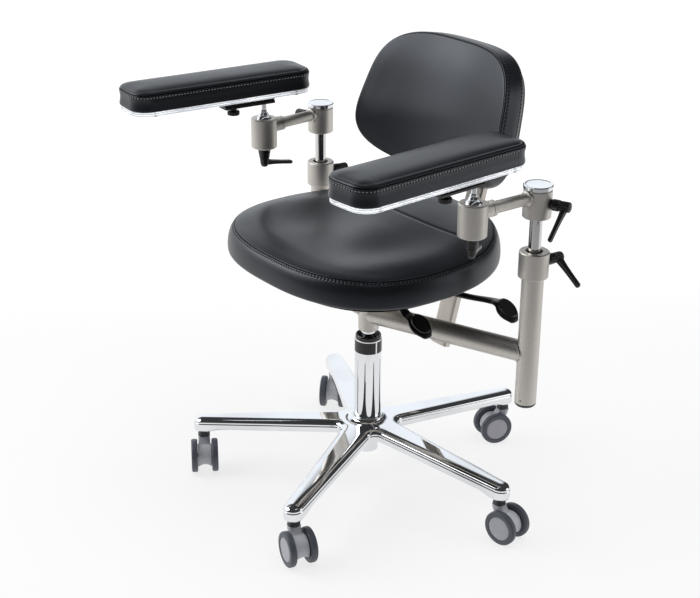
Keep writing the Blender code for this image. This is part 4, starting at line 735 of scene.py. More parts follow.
# Base
@dataclass
class StarBase(SubAssembly):
    """The polished five-leg casting with the chrome column and its guide bush."""

    castor_circle: float = 0.315
    first_leg: float = 10.0
    legs: int = 5
    tip_top: float = 0.107
    tip_bottom: float = 0.0805
    rise: float = 0.021
    thickness: float = 0.0215
    tip_half_width: float = 0.0185
    root_half_width: float = 0.029
    shoulder: Pair = (0.0155, 0.0075)
    ledge: float = 0.0012
    crotch_radius: float = 0.016
    hub_radius: float = 0.049
    collar_radius: float = 0.029
    hub_top: float = 0.133
    column_radius: float = 0.025
    column_top: float = 0.2915
    bush_top: float = 0.299
    band: Pair = (0.266, 0.289)
    band_gap: Pair = (355.0, 362.0)
    foot_radius: float = 0.021
    foot_bottom: float = 0.061

    def outline(self, inset: float) -> np.ndarray:
        """Give the base's plan outline, drawn in by an inset, with the same stations at every inset."""
        tip, root = self.tip_half_width - inset, self.root_half_width - inset
        crotch = self.crotch_radius + inset
        step = 360.0 / self.legs
        slope = math.degrees(math.atan2(root - tip, self.castor_circle))
        gap = math.radians(step / 2 - slope)
        meeting = root / (math.tan(math.radians(step / 2)) + (root - tip) / self.castor_circle)
        far = meeting / math.cos(math.radians(step / 2)) + crotch / math.sin(gap)
        points = []
        for leg in range(self.legs):
            heading = self.first_leg + step * leg
            end = np.array(polar(self.castor_circle, heading))
            tips = [end + polar(tip, heading + a) for a in np.linspace(slope - 90, 90 - slope, 29)]
            between = heading + step / 2
            centre = np.array(polar(far, between))
            swing = 90.0 - step / 2 + slope
            bends = [centre + polar(crotch, between + 180 + a) for a in np.linspace(swing, -swing, 25)]
            following = heading + step
            next_tip = np.array(polar(self.castor_circle, following)) + polar(tip, following + slope - 90)
            points += tips + list(np.linspace(tips[-1], bends[0], 24)[1:-1])
            points += bends + list(np.linspace(bends[-1], next_tip, 24)[1:-1])
        return np.array(points)

    def spine(self) -> np.ndarray:
        """Give the middle line that each station of the outline runs in to: leg centres and a hub ring."""
        step = 360.0 / self.legs
        runs = np.linspace(self.castor_circle, self.hub_radius, 24)
        points = []
        for leg in range(self.legs):
            heading = self.first_leg + step * leg
            points += [polar(self.castor_circle, heading)] * 29
            points += [polar(r, heading) for r in runs[1:-1]]
            points += [polar(self.hub_radius, heading + a) for a in np.linspace(0.0, step, 25)]
            points += [polar(r, heading + step) for r in runs[::-1][1:-1]]
        return np.array(points)

    def top(self, plan: np.ndarray, fall: float) -> np.ndarray:
        """Give points on the upper side, which falls from hub to tips, lowered by a fall."""
        reach = np.hypot(plan[:, 0], plan[:, 1])
        height = self.tip_top + self.rise * (1.0 - reach / self.castor_circle) - fall
        return np.column_stack([plan, height])

    def below(self, plan: np.ndarray, rise: float) -> np.ndarray:
        """Give points on the underside, which drops at the leg ends, raised by a rise."""
        reach = np.clip((np.hypot(plan[:, 0], plan[:, 1]) / self.castor_circle - 0.9) / 0.075, 0.0, 1.0)
        ends = (self.tip_top - self.thickness - self.tip_bottom) * reach * reach * (3.0 - 2.0 * reach)
        points = self.top(plan, self.thickness - rise)
        points[:, 2] -= ends
        return points

    def casting(self) -> None:
        """Model the casting: skin it from underside to flat top, then draw the hub up to the collar."""
        wide, drop = self.shoulder
        ledge = self.ledge
        edge = [(0.006, 0), (0.0024, 0), (0.0008, 0.0006), (0, 0.0022)]
        rings = [self.below(self.spine(), 0.0)] + [self.below(self.outline(i), rise) for i, rise in edge]
        rim = [(0, drop + 0.007), (0, drop + 0.0036), (0.15 * ledge, drop + 0.003),
            (0.5 * ledge, drop + 0.0024), (0.8 * ledge, drop + 0.0021), (0.95 * ledge, drop + 0.0017),
            (ledge, drop + 0.0008)]
        rim += [(ledge + wide * (1.0 - math.cos(a)), drop * (1.0 - math.sin(a)))
            for a in np.linspace(0.0, math.pi / 2, 15)]
        rings += [self.top(self.outline(i), fall) for i, fall in rim] + [self.top(self.spine(), -0.0001)]
        piece = Bench.skinned("star_casting", rings, (Ends.OPEN, Ends.OPEN))
        bpy.ops.object.mode_set(mode="EDIT")
        split = self.top(np.array([[self.hub_radius, 0.0]]), 0.5 * self.thickness)[0, 2]
        self.hub_edge(piece, 0.0, split)
        bpy.ops.mesh.edge_face_add()
        self.hub_edge(piece, split, 1.0)
        start = self.top(np.array([[self.hub_radius, 0.0]]), -0.0001)[0, 2]
        line = [(self.hub_radius - (self.hub_radius - self.collar_radius) * math.sin(a),
            start + (self.hub_top - 0.0012 - start) * (1 - math.cos(a)) ** 1.25)
            for a in np.linspace(0.0, math.pi / 2, 11)[1:]]
        line += [(self.collar_radius - 0.0004, self.hub_top - 0.0003),
            (self.collar_radius - 0.0014, self.hub_top), (self.column_radius + 0.0011, self.hub_top),
            (self.column_radius + 0.0003, self.hub_top - 0.0006),
            (self.column_radius + 0.0003, self.hub_top - 0.01)]
        for radius, height in line:
            bpy.ops.mesh.extrude_edges_move()
            form = bmesh.from_edit_mesh(piece.data)
            for vert in form.verts:
                if vert.select:
                    out = Vector((vert.co.x, vert.co.y)).normalized() * radius
                    vert.co = (out.x, out.y, height)
            bmesh.update_edit_mesh(piece.data)
        self.finish(Bench.cleaned(piece), Finishes.POLISHED, "base", "star_base", angle=50.0)

    @staticmethod
    def hub_edge(piece: Piece, low: float, high: float) -> None:
        """Select the open edges round the hub between two heights, in edit mode."""
        bpy.ops.mesh.select_all(action="DESELECT")
        form = bmesh.from_edit_mesh(piece.data)
        for edge in form.edges:
            if len(edge.link_faces) == 1 and all(low < vert.co.z < high for vert in edge.verts):
                edge.select_set(True)
        bmesh.update_edit_mesh(piece.data)

    def column(self) -> None:
        """Model the chrome tube, its bare black band, the bush and the clip under the hub."""
        radius, foot = self.column_radius, self.hub_top - 0.037
        tube = Bench.turned("column", rounded([(radius - 0.0022, self.column_top, 0.0004),
            (radius, self.column_top, 0.0009), (radius, foot, 0.001), (radius - 0.0022, foot)], 3, True), 96,
            True)
        self.finish(tube, Finishes.CHROME, "base", "column_tube")
        low, high = self.band
        start, end = self.band_gap[1], self.band_gap[0] + 360.0
        rings = [np.array([(*polar(radius + out, a), z) for out, z in ((0.00005, low),
            (0.00025, low + 0.0002), (0.00025, high - 0.0002), (0.00005, high))])
            for a in np.linspace(start, end, 97)]
        band = Bench.skinned("column_band", rings)
        self.finish(band, Finishes.LABEL, "base")
        inner = 0.0148
        bush = Bench.turned("guide_bush", rounded([(inner, self.column_top - 0.03),
            (inner, self.column_top - 0.004, 0.001), (inner + 0.0035, self.column_top + 0.0015, 0.0012),
            (radius - 0.004, self.bush_top - 0.0004, 0.0006), (radius - 0.0024, self.bush_top, 0.0006),
            (radius - 0.0012, self.bush_top - 0.0018, 0.0008),
            (radius - 0.0012, self.column_top + 0.0006, 0.0003), (radius - 0.0026, self.column_top + 0.0002),
            (radius - 0.0026, self.column_top - 0.03)], 4, True), 72, True)
        self.finish(bush, Finishes.GLOSS_BLACK, "base", "column_bush")
        foot_low, r = self.foot_bottom, self.foot_radius
        boss = Bench.turned("hub_foot", rounded([(0, 0.104), (0.033, 0.104), (0.033, 0.0935, 0.005),
            (r + 0.0004, 0.083, 0.006), (r, foot_low, 0.0012), (0.006, foot_low)], 5), 64)
        self.finish(boss, Finishes.POLISHED, "base")
        clip = Bench.turned("piston_clip", rounded([(0.0048, foot_low + 0.001), (0.0048, foot_low - 0.0003),
            (0.011, foot_low - 0.0003, 0.0004), (0.011, foot_low - 0.002, 0.0006),
            (0.0062, foot_low - 0.0022, 0.0003), (0.005, foot_low - 0.0033, 0.0006), (0, foot_low - 0.0033)],
            3), 40)
        self.finish(clip, Finishes.STEEL, "base", "piston_rod")

    def build(self) -> None:
        """Model and dress the whole base."""
        self.casting()
        self.column()


@dataclass
class Castor(SubAssembly):
    """A twin-wheel castor: grey body with its arch, and two wheels with capped discs on one axle."""

    base: StarBase
    headings: tuple[float, ...] = (9.4, 249.9, -45.0, -31.4, -13.2)
    radius: float = 0.03188
    half_width: float = 0.006
    half_spacing: float = 0.0195
    trail: float = 0.02
    drum_radius: float = 0.0225
    drum_half_width: float = 0.01315
    arch: Pair = (0.0136, 0.0095)
    neck_top: float = 0.0657
    swivel_top: float = 0.0802
    swivel_radius: float = 0.0125

    def wheel_pair(self) -> Piece:
        """Model the two wheels about their axle, which lies along Y."""
        w, r = self.half_width, self.radius
        pieces = []
        for sign in (1.0, -1.0):
            side = shift(0, sign * self.half_spacing, 0) @ spun("X", -90.0 * sign)
            tread = Bench.turned("tread", rounded([(0.02, w - 0.0014), (0.0226, w - 0.0014, 0.0002),
                (0.0231, w - 0.0001, 0.0005), (r, w, 0.0034), (r, -w, 0.0034), (0.024, -w, 0.0008),
                (0.0225, -w + 0.0016, 0.0005), (0.004, -w + 0.0016)], 5), 72)
            disc = Bench.turned("disc", rounded([(0, w + 0.0002), (0.015, w, 0.004),
                (0.0206, w - 0.0004, 0.0006), (0.0211, w - 0.0011, 0.0002), (0.0216, w - 0.0005, 0.0002),
                (0.0223, w - 0.001, 0.0004), (0.0224, w - 0.004)], 3), 72)
            pieces += [Bench.placed(Finishes.TREAD.dress(tread), side),
                Bench.placed(Finishes.CAP.dress(disc), side)]
        axle = Bench.turned("axle", [(0, 0.0185), (0.0039, 0.0185), (0.0039, -0.0185), (0, -0.0185)], 24)
        pieces.append(Bench.placed(Finishes.STEEL.dress(axle), spun("X", 90.0)))
        return Bench.smooth(Bench.joined("wheel_pair", *pieces))

    def body(self) -> Piece:
        """Model the body: a drum with a tapered neck, an arch cut through below, and the swivel ring."""
        axle = (self.trail, 0, self.radius)
        half = self.drum_half_width
        drum = Bench.turned("castor_drum", rounded([(0, half), (self.drum_radius, half, 0.0016),
            (self.drum_radius, -half, 0.0016), (0, -half)], 3), 64)
        Bench.placed(drum, shift(*axle) @ spun("X", 90.0))
        angle = around(40)
        rings = []
        for t in np.linspace(0.0, 1.0, 9):
            ease = t * t * (3 - 2 * t)
            length, wide = 0.0112 + 0.0068 * ease, 0.0112 - 0.0006 * ease
            x = self.trail * 0.9 * ease
            z = self.neck_top - (self.neck_top - axle[2]) * t
            corner = [np.sign(f) * np.abs(f) ** 0.62 for f in (np.cos(angle), np.sin(angle))]
            rings.append(np.column_stack([x + length * corner[0], wide * corner[1], np.full(40, z)]))
        body = Bench.combined(drum, Bench.skinned("castor_neck", rings), "UNION")
        r, height = self.arch
        arch = Bench.turned("castor_arch", [(0, 0.1), (r, 0.1), (r, -0.1), (0, -0.1)], 48)
        Bench.placed(arch, shift(self.trail, 0, height) @ spun("Y", 90.0))
        body = Bench.bevelled(Bench.combined(body, arch, "DIFFERENCE"), 0.0006, 2, 50.0)
        Finishes.GREY.dress(body)
        low, high, r = self.neck_top, self.swivel_top, self.swivel_radius
        ring = Bench.turned("castor_ring", rounded([(0.0056, high), (r - 0.0038, high, 0.0004),
            (r - 0.0032, high - 0.0012, 0.0005), (r - 0.0032, low + 0.0062, 0.0006),
            (r - 0.0012, low + 0.0046, 0.001), (r - 0.001, low + 0.0004, 0.0006), (0.0056, low)], 3), 48)
        stem = Bench.turned("castor_stem", rounded([(0, high + 0.0198), (0.0054, high + 0.0198, 0.001),
            (0.0054, low + 0.001), (0, low + 0.001)], 3), 24)
        return Bench.smooth(Bench.joined("castor", body, Finishes.DARK_GREY.dress(ring),
            Finishes.STEEL.dress(stem)))

    def build(self) -> None:
        """Model one castor and set five copies on the legs."""
        body, wheels = self.body(), self.wheel_pair()
        for k, heading in enumerate(self.headings, 1):
            x, y = polar(self.base.castor_circle, self.base.first_leg + 360.0 / self.base.legs * (k - 1))
            frame = shift(x, y, 0) @ spun("Z", heading)
            self.keep(Bench.copied(body, f"castor_hood_{k}", frame), "castor_grey", f"castor_{k}",
                f"castor_body_{k}")
            axle = frame @ shift(self.trail, 0, self.radius) @ spun("Y", 23.0 * k)
            self.keep(Bench.copied(wheels, f"castor_pair_{k}", axle), "tread_grey", f"wheels_{k}",
                f"castor_wheels_{k}")
        for model in (body, wheels):
            bpy.data.objects.remove(model)


# Levers
@dataclass
class ClampLever(SubAssembly):
    """A clamp lever: steel stud, glossy spacer, fluted hub with a button, and a hollow-sided arm."""

    name: str
    node: str
    frame: Matrix
    seat_radius: float
    swing: float
    stud_depth: float = 0.006
    spacer_radius: float = 0.01
    spacer_length: float = 0.015
    hub_radius: float = 0.0092
    hub_length: float = 0.019
    arm_length: float = 0.06
    splay: float = 10.0

    def arm(self, height: float) -> Piece:
        """Model the arm from the hub's middle outwards along X."""
        angle = math.radians(self.splay)
        sizes = ((0, 0.007, 0.0066), (0.01, 0.0066, 0.0056), (0.022, 0.0058, 0.0046), (0.04, 0.0052, 0.0041),
            (0.054, 0.005, 0.0041), (self.arm_length, 0.0049, 0.0042))
        rows = [(s * math.cos(angle), 0, height + s * math.sin(angle), wide, thick)
            for s, wide, thick in sizes]
        return Finishes.BLACK.dress(Bench.swept(f"{self.name}_arm", rows, 32, 5, 2.8, 0.34))

    def hub(self) -> list[Piece]:
        """Model the stud, the spacer and the fluted hub with its button."""
        low, foot, top = self.seat_radius, self.seat_radius + self.spacer_length, self.top
        stud = Bench.turned("stud", [(0, low + 0.001), (0.004, low + 0.001), (0.004, low - self.stud_depth),
            (0, low - self.stud_depth)], 20)
        r = self.spacer_radius
        spacer = Bench.turned("spacer", rounded([(0, low), (0.8 * r, low), (0.93 * r, low + 0.0015, 0.0008),
            (r, low + 0.004, 0.001), (r, foot - 0.0012, 0.0008), (0.86 * r, foot - 0.0002, 0.0004),
            (0, foot - 0.0002)], 4), 40)
        levels = ((0.55, 0, 0), (0.96, 0, 0), (1.0, 0.0006, 0.4), (1.0, 0.0012, 1.0),
            (1.0, self.hub_length - 0.0045, 1.0), (0.985, self.hub_length - 0.0028, 0.5),
            (0.9, self.hub_length - 0.001, 0), (0.74, self.hub_length - 0.0002, 0), (0.6, self.hub_length, 0))
        rings = flat_rings([lobed(share * self.hub_radius, 0.0011 * cut, 14, 84) for share, _, cut in levels],
            [foot + h for _, h, _ in levels])
        hub = Bench.skinned("hub", rings)
        button = Bench.turned("button", rounded([(0, top + 0.001), (0.0042, top + 0.0008, 0.0008),
            (0.0048, top - 0.0004), (0, top - 0.0004)], 4), 28)
        return [Finishes.BLACK.dress(hub), Finishes.GLOSS_BLACK.dress(spacer),
            Finishes.GLOSS_BLACK.dress(button), Finishes.STEEL.dress(stud)]

    @property
    def top(self) -> float:
        """Give the height of the hub's end above the lever's axis."""
        return self.seat_radius + self.spacer_length + self.hub_length

    def build(self) -> None:
        """Model, place and dress the lever."""
        piece = Bench.joined(self.name, *self.hub(), self.arm(self.top - self.hub_radius))
        Bench.placed(Bench.smooth(piece), self.frame @ spun("Z", self.swing))
        self.keep(piece, "black_plastic", self.node, self.node)


@dataclass
class BallLever(ClampLever):
    """The lever under a ball housing: a stepped glossy cone, then a matte hub with its arm."""

    base_radius: float = 0.013
    cone_length: float = 0.02

    @property
    def top(self) -> float:
        """Give the height of the hub's end above the housing's foot."""
        return self.cone_length + self.hub_length

    def hub(self) -> list[Piece]:
        """Model the stud, the stepped cone and the hub's round end."""
        step, end, r = self.cone_length, self.top, self.base_radius
        stud = Bench.turned("stud", [(0, 0.001), (0.004, 0.001), (0.004, -0.009), (0, -0.009)], 20)
        cone = Bench.turned("cone", rounded([(0, 0.0004), (0.9 * r, 0.0004, 0.0003), (r, 0.0014, 0.0006),
            (0.98 * r, 0.006, 0.0004), (0.9 * r, 0.0066, 0.0003), (0.87 * r, 0.013, 0.0004),
            (0.81 * r, 0.0136, 0.0003), (0.79 * r, step - 0.0006, 0.0006), (0, step - 0.0002)], 3), 44)
        n = self.hub_radius
        hub = Bench.turned("hub", rounded([(0, step - 0.0006), (0.96 * n, step - 0.0002, 0.0006),
            (n, step + 0.0014, 0.0008), (0.86 * n, end - 0.006, 0.004), (0.62 * n, end - 0.0006, 0.0022),
            (0, end)], 5), 44)
        return [Finishes.BLACK.dress(hub), Finishes.GLOSS_BLACK.dress(cone), Finishes.STEEL.dress(stud)]


@dataclass
class PaddleLever(SubAssembly):
    """A lever under the seat: a blade that widens into a drooping paddle with a raised oval rim."""

    name: str
    pivot: Corner
    reach: float
    fall: float
    sweep: float
    paddle_length: float = 0.06
    droop: float = 32.0

    def build(self) -> None:
        """Model, place and dress the lever."""
        length = self.paddle_length
        start = length / 2 * math.cos(math.radians(self.droop))
        drop = math.tan(math.radians(self.droop))
        near = self.reach - start / 2
        heel, tip = self.reach - 0.42 * length, self.reach + 0.36 * length
        rows = [(-0.011, 0, 0, 0.0052, 0.0056), (0.012, 0, 0, 0.0056, 0.0058),
            (0.6 * near, 0.52 * self.sweep, -0.3 * self.fall, 0.0072, 0.0048),
            (0.9 * heel, 0.96 * self.sweep, -0.66 * self.fall, 0.0105, 0.0042),
            (heel + 0.01, self.sweep, -self.fall + 0.01 * drop + 0.001, 0.015, 0.0046),
            (self.reach, self.sweep, -self.fall, 0.0205, 0.0058),
            (0.5 * (self.reach + tip), self.sweep, -self.fall - 0.5 * (tip - self.reach) * drop, 0.0186,
            0.0056), (tip, self.sweep, -self.fall - (tip - self.reach) * drop, 0.01, 0.004)]
        blade = Finishes.BLACK.dress(Bench.swept(f"{self.name}_blade", rows, 40, 7, 2.2))
        tilt = shift(self.reach + 0.001, self.sweep, -self.fall) @ spun("Y", self.droop)
        angle = around(64)
        oval = np.column_stack([0.02 * np.cos(angle), 0.015 * np.sin(angle)])
        line = [(1.08, 0.004), (1.08, 0.0058), (1.055, 0.0068), (1.0, 0.0072), (0.945, 0.0068), (0.92, 0.006),
            (0.9, 0.004)]
        rim = Bench.skinned("rim", flat_rings([oval * s for s, _ in line], [h for _, h in line]))
        dome = [(0.915, 0.003), (0.915, 0.0056), (0.86, 0.006), (0.6, 0.0063), (0.25, 0.0065)]
        insert = Bench.skinned("insert", flat_rings([oval * s for s, _ in dome], [h for _, h in dome]))
        pieces = [Finishes.GLOSS_BLACK.dress(rim), Finishes.BLACK.dress(insert)]
        piece = Bench.joined(f"{self.name}_paddle", blade, *(Bench.placed(p, tilt) for p in pieces))
        Bench.placed(Bench.smooth(piece, 40.0), shift(*self.pivot))
        self.keep(piece, "black_plastic", self.name, self.name)


# Seat frame
@dataclass
class SeatFrame(SubAssembly):
    """The gas cylinder, the seat casting, the cross tubes and the posts with plugs and collars."""

    spring_radius: float = 0.014
    socket_bottom: float = 0.309
    socket_radius: float = 0.019
    flare_bottom: float = 0.349
    flare_radius: float = 0.031
    housing_bottom: float = 0.3725
    housing_half_width: float = 0.052
    housing_ends: Pair = (-0.07, 0.095)
    plate_bottom: float = 0.425
    plate_half: Pair = (0.085, 0.1)
    pivot: Pair = (0.118, 0.4)
    tube_radius: float = 0.019
    tube_height: float = 0.341
    post_place: Pair = (0.3005, 0.114)
    post_radius: float = 0.019
    post_ends: Pair = (0.2467, 0.513)
    collar_radius: float = 0.026
    collar_ends: Pair = (0.484, 0.531)
    collar_hole: float = 0.0145
    lever_drop: float = 0.022
    lever_heading: float = 84.0
    lever_swing: float = -50.0

    def cylinder(self) -> None:
        """Model the gas cylinder, with the fine line of its rolled end."""
        r, top = self.spring_radius, self.housing_bottom - 0.0003
        tube = Bench.turned("gas_cylinder_tube", rounded([(0, top), (r, top, 0.001),
            (r, self.socket_bottom - 0.001), (r - 0.0005, self.socket_bottom - 0.0014),
            (r - 0.0005, self.socket_bottom - 0.002), (r, self.socket_bottom - 0.0024), (r, 0.126, 0.001),
            (0.0056, 0.124), (0.0056, 0.25), (0, 0.25)], 3), 72)
        self.finish(tube, Finishes.CHROME, "gas_spring", "gas_cylinder")

    def casting(self) -> None:
        """Model the seat casting: socket, housing, plate, ears with the pivot pin, and the seat's bolts."""
        r, hole = self.socket_radius, self.spring_radius + 0.0003
        socket = Bench.turned("socket", rounded([(self.flare_radius, self.housing_bottom + 0.002),
            (self.flare_radius, self.housing_bottom - 0.002, 0.004), (r, self.flare_bottom, 0.008),
            (r, self.socket_bottom, 0.0012), (hole, self.socket_bottom, 0.0006),
            (hole, self.housing_bottom + 0.002)], 5, True), 72, True)
        low, high = self.housing_ends
        height = self.plate_bottom - self.housing_bottom
        housing = Bench.block("housing", (2 * self.housing_half_width, high - low, height),
            (0, (low + high) / 2, self.housing_bottom + height / 2), 0.006)
        wide, long = self.plate_half
        plate = Bench.block("plate", (2 * wide, 2 * long, 0.006), (0, 0, self.plate_bottom + 0.003), 0.0012,
            2)
        pieces = [socket, housing, plate]
        y, z = self.pivot
        for sign in (1.0, -1.0):
            x = sign * 0.0338
            ear = Bench.block("ear", (0.008, 0.027, 0.03), (x, y - 0.013, z), 0.001, 2)
            eye = Bench.turned("eye", rounded([(0, 0.004), (0.015, 0.004, 0.001), (0.015, -0.004, 0.001),
                (0, -0.004)], 3), 48)
            pieces += [ear, Bench.placed(eye, shift(x, y, z) @ spun("Y", 90.0))]
        for piece in pieces:
            Finishes.SATIN.dress(piece)
        pin = Bench.turned("pivot_pin", rounded([(0, 0.0405), (0.007, 0.0405, 0.0015), (0.007, 0.038, 0.0004),
            (0.005, 0.0378), (0.005, -0.0378), (0.007, -0.038, 0.0004), (0.007, -0.0405, 0.0015),
            (0, -0.0405)], 3), 32)
        pieces.append(Finishes.STEEL.dress(Bench.placed(pin, shift(0, y, z) @ spun("Y", 90.0))))
        for x, v in ((1, 1), (1, -1), (-1, 1), (-1, -1)):
            bolt = Bench.turned("seat_bolt", rounded([(0, 0), (0.0022, 0), (0.0026, -0.0026),
                (0.005, -0.0042, 0.0008), (0.0064, -0.001, 0.0006), (0.0064, 0)], 3), 28)
            spot = shift(x * (wide - 0.014), v * (long - 0.014), self.plate_bottom + 0.0002)
            pieces.append(Finishes.STEEL.dress(Bench.placed(bolt, spot)))
        piece = Bench.smooth(Bench.joined("seat_casting", *pieces))
        self.keep(piece, "satin_nickel", "seat", "mechanism")

    def cross_tube(self, side: str, sign: float) -> None:
        """Model one cross tube with saddle ends, and the weld round its joint with the post."""
        x, y = sign * self.post_place[0], self.post_place[1]
        length, heading = math.hypot(x, y), math.degrees(math.atan2(y, x))
        angle = around(72)
        r = self.tube_radius
        saddle = np.sqrt((self.post_radius + 0.0002) ** 2 - (0.9995 * r * np.cos(angle)) ** 2)
        heights = r * np.sin(angle)
        throat = np.where(heights > 0.008, self.socket_radius + np.clip(heights - 0.008, 0, 1) * 0.55,
            self.socket_radius)
        near = np.sqrt(np.clip((throat + 0.0002) ** 2 - (0.995 * r * np.cos(angle)) ** 2, 1e-8, 1.0))
        middle = np.full(72, length / 2)
        rings = [np.column_stack([run, r * np.cos(angle), heights])
            for run in (near, 0.5 * near + 0.5 * middle, middle, 0.5 * (length - saddle) + 0.5 * middle,
            length - saddle)]
        tube = Bench.skinned(f"cross_bar_{side}", rings, (Ends.OPEN, Ends.OPEN))
        frame = shift(0, 0, self.tube_height) @ spun("Z", heading)
        self.finish(tube, Finishes.SATIN, "seat", f"cross_tube_{side}", frame=frame, angle=60.0)
        bead_rings = []
        for a in angle:
            out = np.sqrt((self.post_radius + 0.0002) ** 2 - (0.93 * r * math.cos(a)) ** 2)
            centre = Vector((length - out, 0.985 * r * math.cos(a), 0.985 * r * math.sin(a)))
            radial = Vector((0, math.cos(a), math.sin(a)))
            size = 0.0017 + 0.00022 * math.cos(36 * a)
            bead_rings.append(np.array([centre + radial * (size * math.cos(b)) + Vector((size * math.sin(b),
                0, 0)) for b in around(10)]))
        bead_rings.append(bead_rings[0])
        bead = Bench.skinned(f"weld_bead_{side}", bead_rings, (Ends.OPEN, Ends.OPEN))
        self.finish(bead, Finishes.SATIN, "seat", frame=frame, angle=70.0)

    def post(self, side: str, sign: float) -> None:
        """Model one post with its drain hole, its foot plug and its collar."""
        place = shift(sign * self.post_place[0], self.post_place[1], 0)
        r, (low, high) = self.post_radius, self.post_ends
        tube = Bench.turned(f"post_tube_{side}", rounded([(0.0125, high), (r, high, 0.0008), (r, low, 0.0006),
            (0.0125, low)], 3, True), 72, True)
        drill = Bench.turned("drill", [(0, 0.03), (0.0016, 0.03), (0.0016, 0.013), (0, 0.013)], 20)
        Bench.placed(drill, shift(0, 0, low + 0.0085) @ spun("Z", -72.0) @ spun("Y", 90.0))
        tube = Bench.combined(tube, drill, "DIFFERENCE")
        self.finish(tube, Finishes.SATIN, "seat", f"post_{side}", frame=place)
        foot = low - 0.0003
        plug = Bench.turned(f"foot_plug_{side}", rounded([(0, low + 0.015), (0.011, low + 0.015, 0.001),
            (0.011, foot), (r - 0.0003, foot, 0.0004), (r - 0.0001, foot - 0.002, 0.0012),
            (r - 0.0026, foot - 0.0053, 0.002), (0, foot - 0.0055)], 4), 64)
        self.finish(plug, Finishes.BLACK, "seat", f"post_plug_{side}", frame=place)
        bottom, top = self.collar_ends
        c = self.collar_radius
        collar = Bench.turned(f"collar_{side}", rounded([(self.collar_hole, top - 0.0006),
            (self.collar_hole + 0.0008, top, 0.0003), (c - 0.0016, top, 0.0004), (c, top - 0.0016, 0.0004),
            (c, bottom + 0.0016, 0.0004), (c - 0.0016, bottom, 0.0004), (r + 0.0002, bottom, 0.0002),
            (r + 0.0002, high + 0.0003), (self.collar_hole, high + 0.0003)], 3, True), 80, True)
        self.finish(collar, Finishes.SATIN, "seat", f"post_collar_{side}", frame=place)
        frame = place @ shift(0, 0, top - self.lever_drop) @ spun("Z", self.lever_heading) @ spun("Y", 90.0)
        ClampLever(f"collar_clamp_{side}", f"collar_lever_{side}", frame, self.collar_radius + 0.0003,
            self.lever_swing).build()

    def build(self) -> None:
        """Model and dress the frame."""
        self.cylinder()
        self.casting()
        for side, sign in SIDES.items():
            self.cross_tube(side, sign)
            self.post(side, sign)
        for name, y, reach, fall, sweep in (("height_lever", -0.015, 0.108, 0.023, 0),
                ("tilt_lever", 0.07, 0.162, 0.015, 0.07)):
            PaddleLever(name, (self.housing_half_width, y, self.housing_bottom + 0.0275), reach, fall,
                sweep).build()


SIDES = {"left": 1.0, "right": -1.0}


# Cushions
def evenly(dense: np.ndarray, count: int) -> np.ndarray:
    """Give points evenly spaced along a closed outline."""
    closed = np.vstack([dense, dense[:1]])
    reach = np.concatenate([[0.0], np.cumsum(np.linalg.norm(np.diff(closed, axis=0), axis=1))])
    at = np.linspace(0.0, reach[-1], count, endpoint=False)
    return np.column_stack([np.interp(at, reach, closed[:, k]) for k in (0, 1)])


@dataclass
class Outline:
    """A closed plan outline with evenly spaced points and their outward normals."""

    points: np.ndarray
    normals: np.ndarray

    @classmethod
    def even(cls, dense: np.ndarray, count: int) -> Outline:
        """Space points evenly along a counter-clockwise outline."""
        points = evenly(dense, count)
        ahead = np.roll(points, -1, 0) - np.roll(points, 1, 0)
        normals = np.column_stack([ahead[:, 1], -ahead[:, 0]])
        normals /= np.linalg.norm(normals, axis=1)[:, None]
        return cls(points, normals)

    def grown(self, growth: float) -> np.ndarray:
        """Give the outline's points, moved outwards."""
        return self.points + growth * self.normals


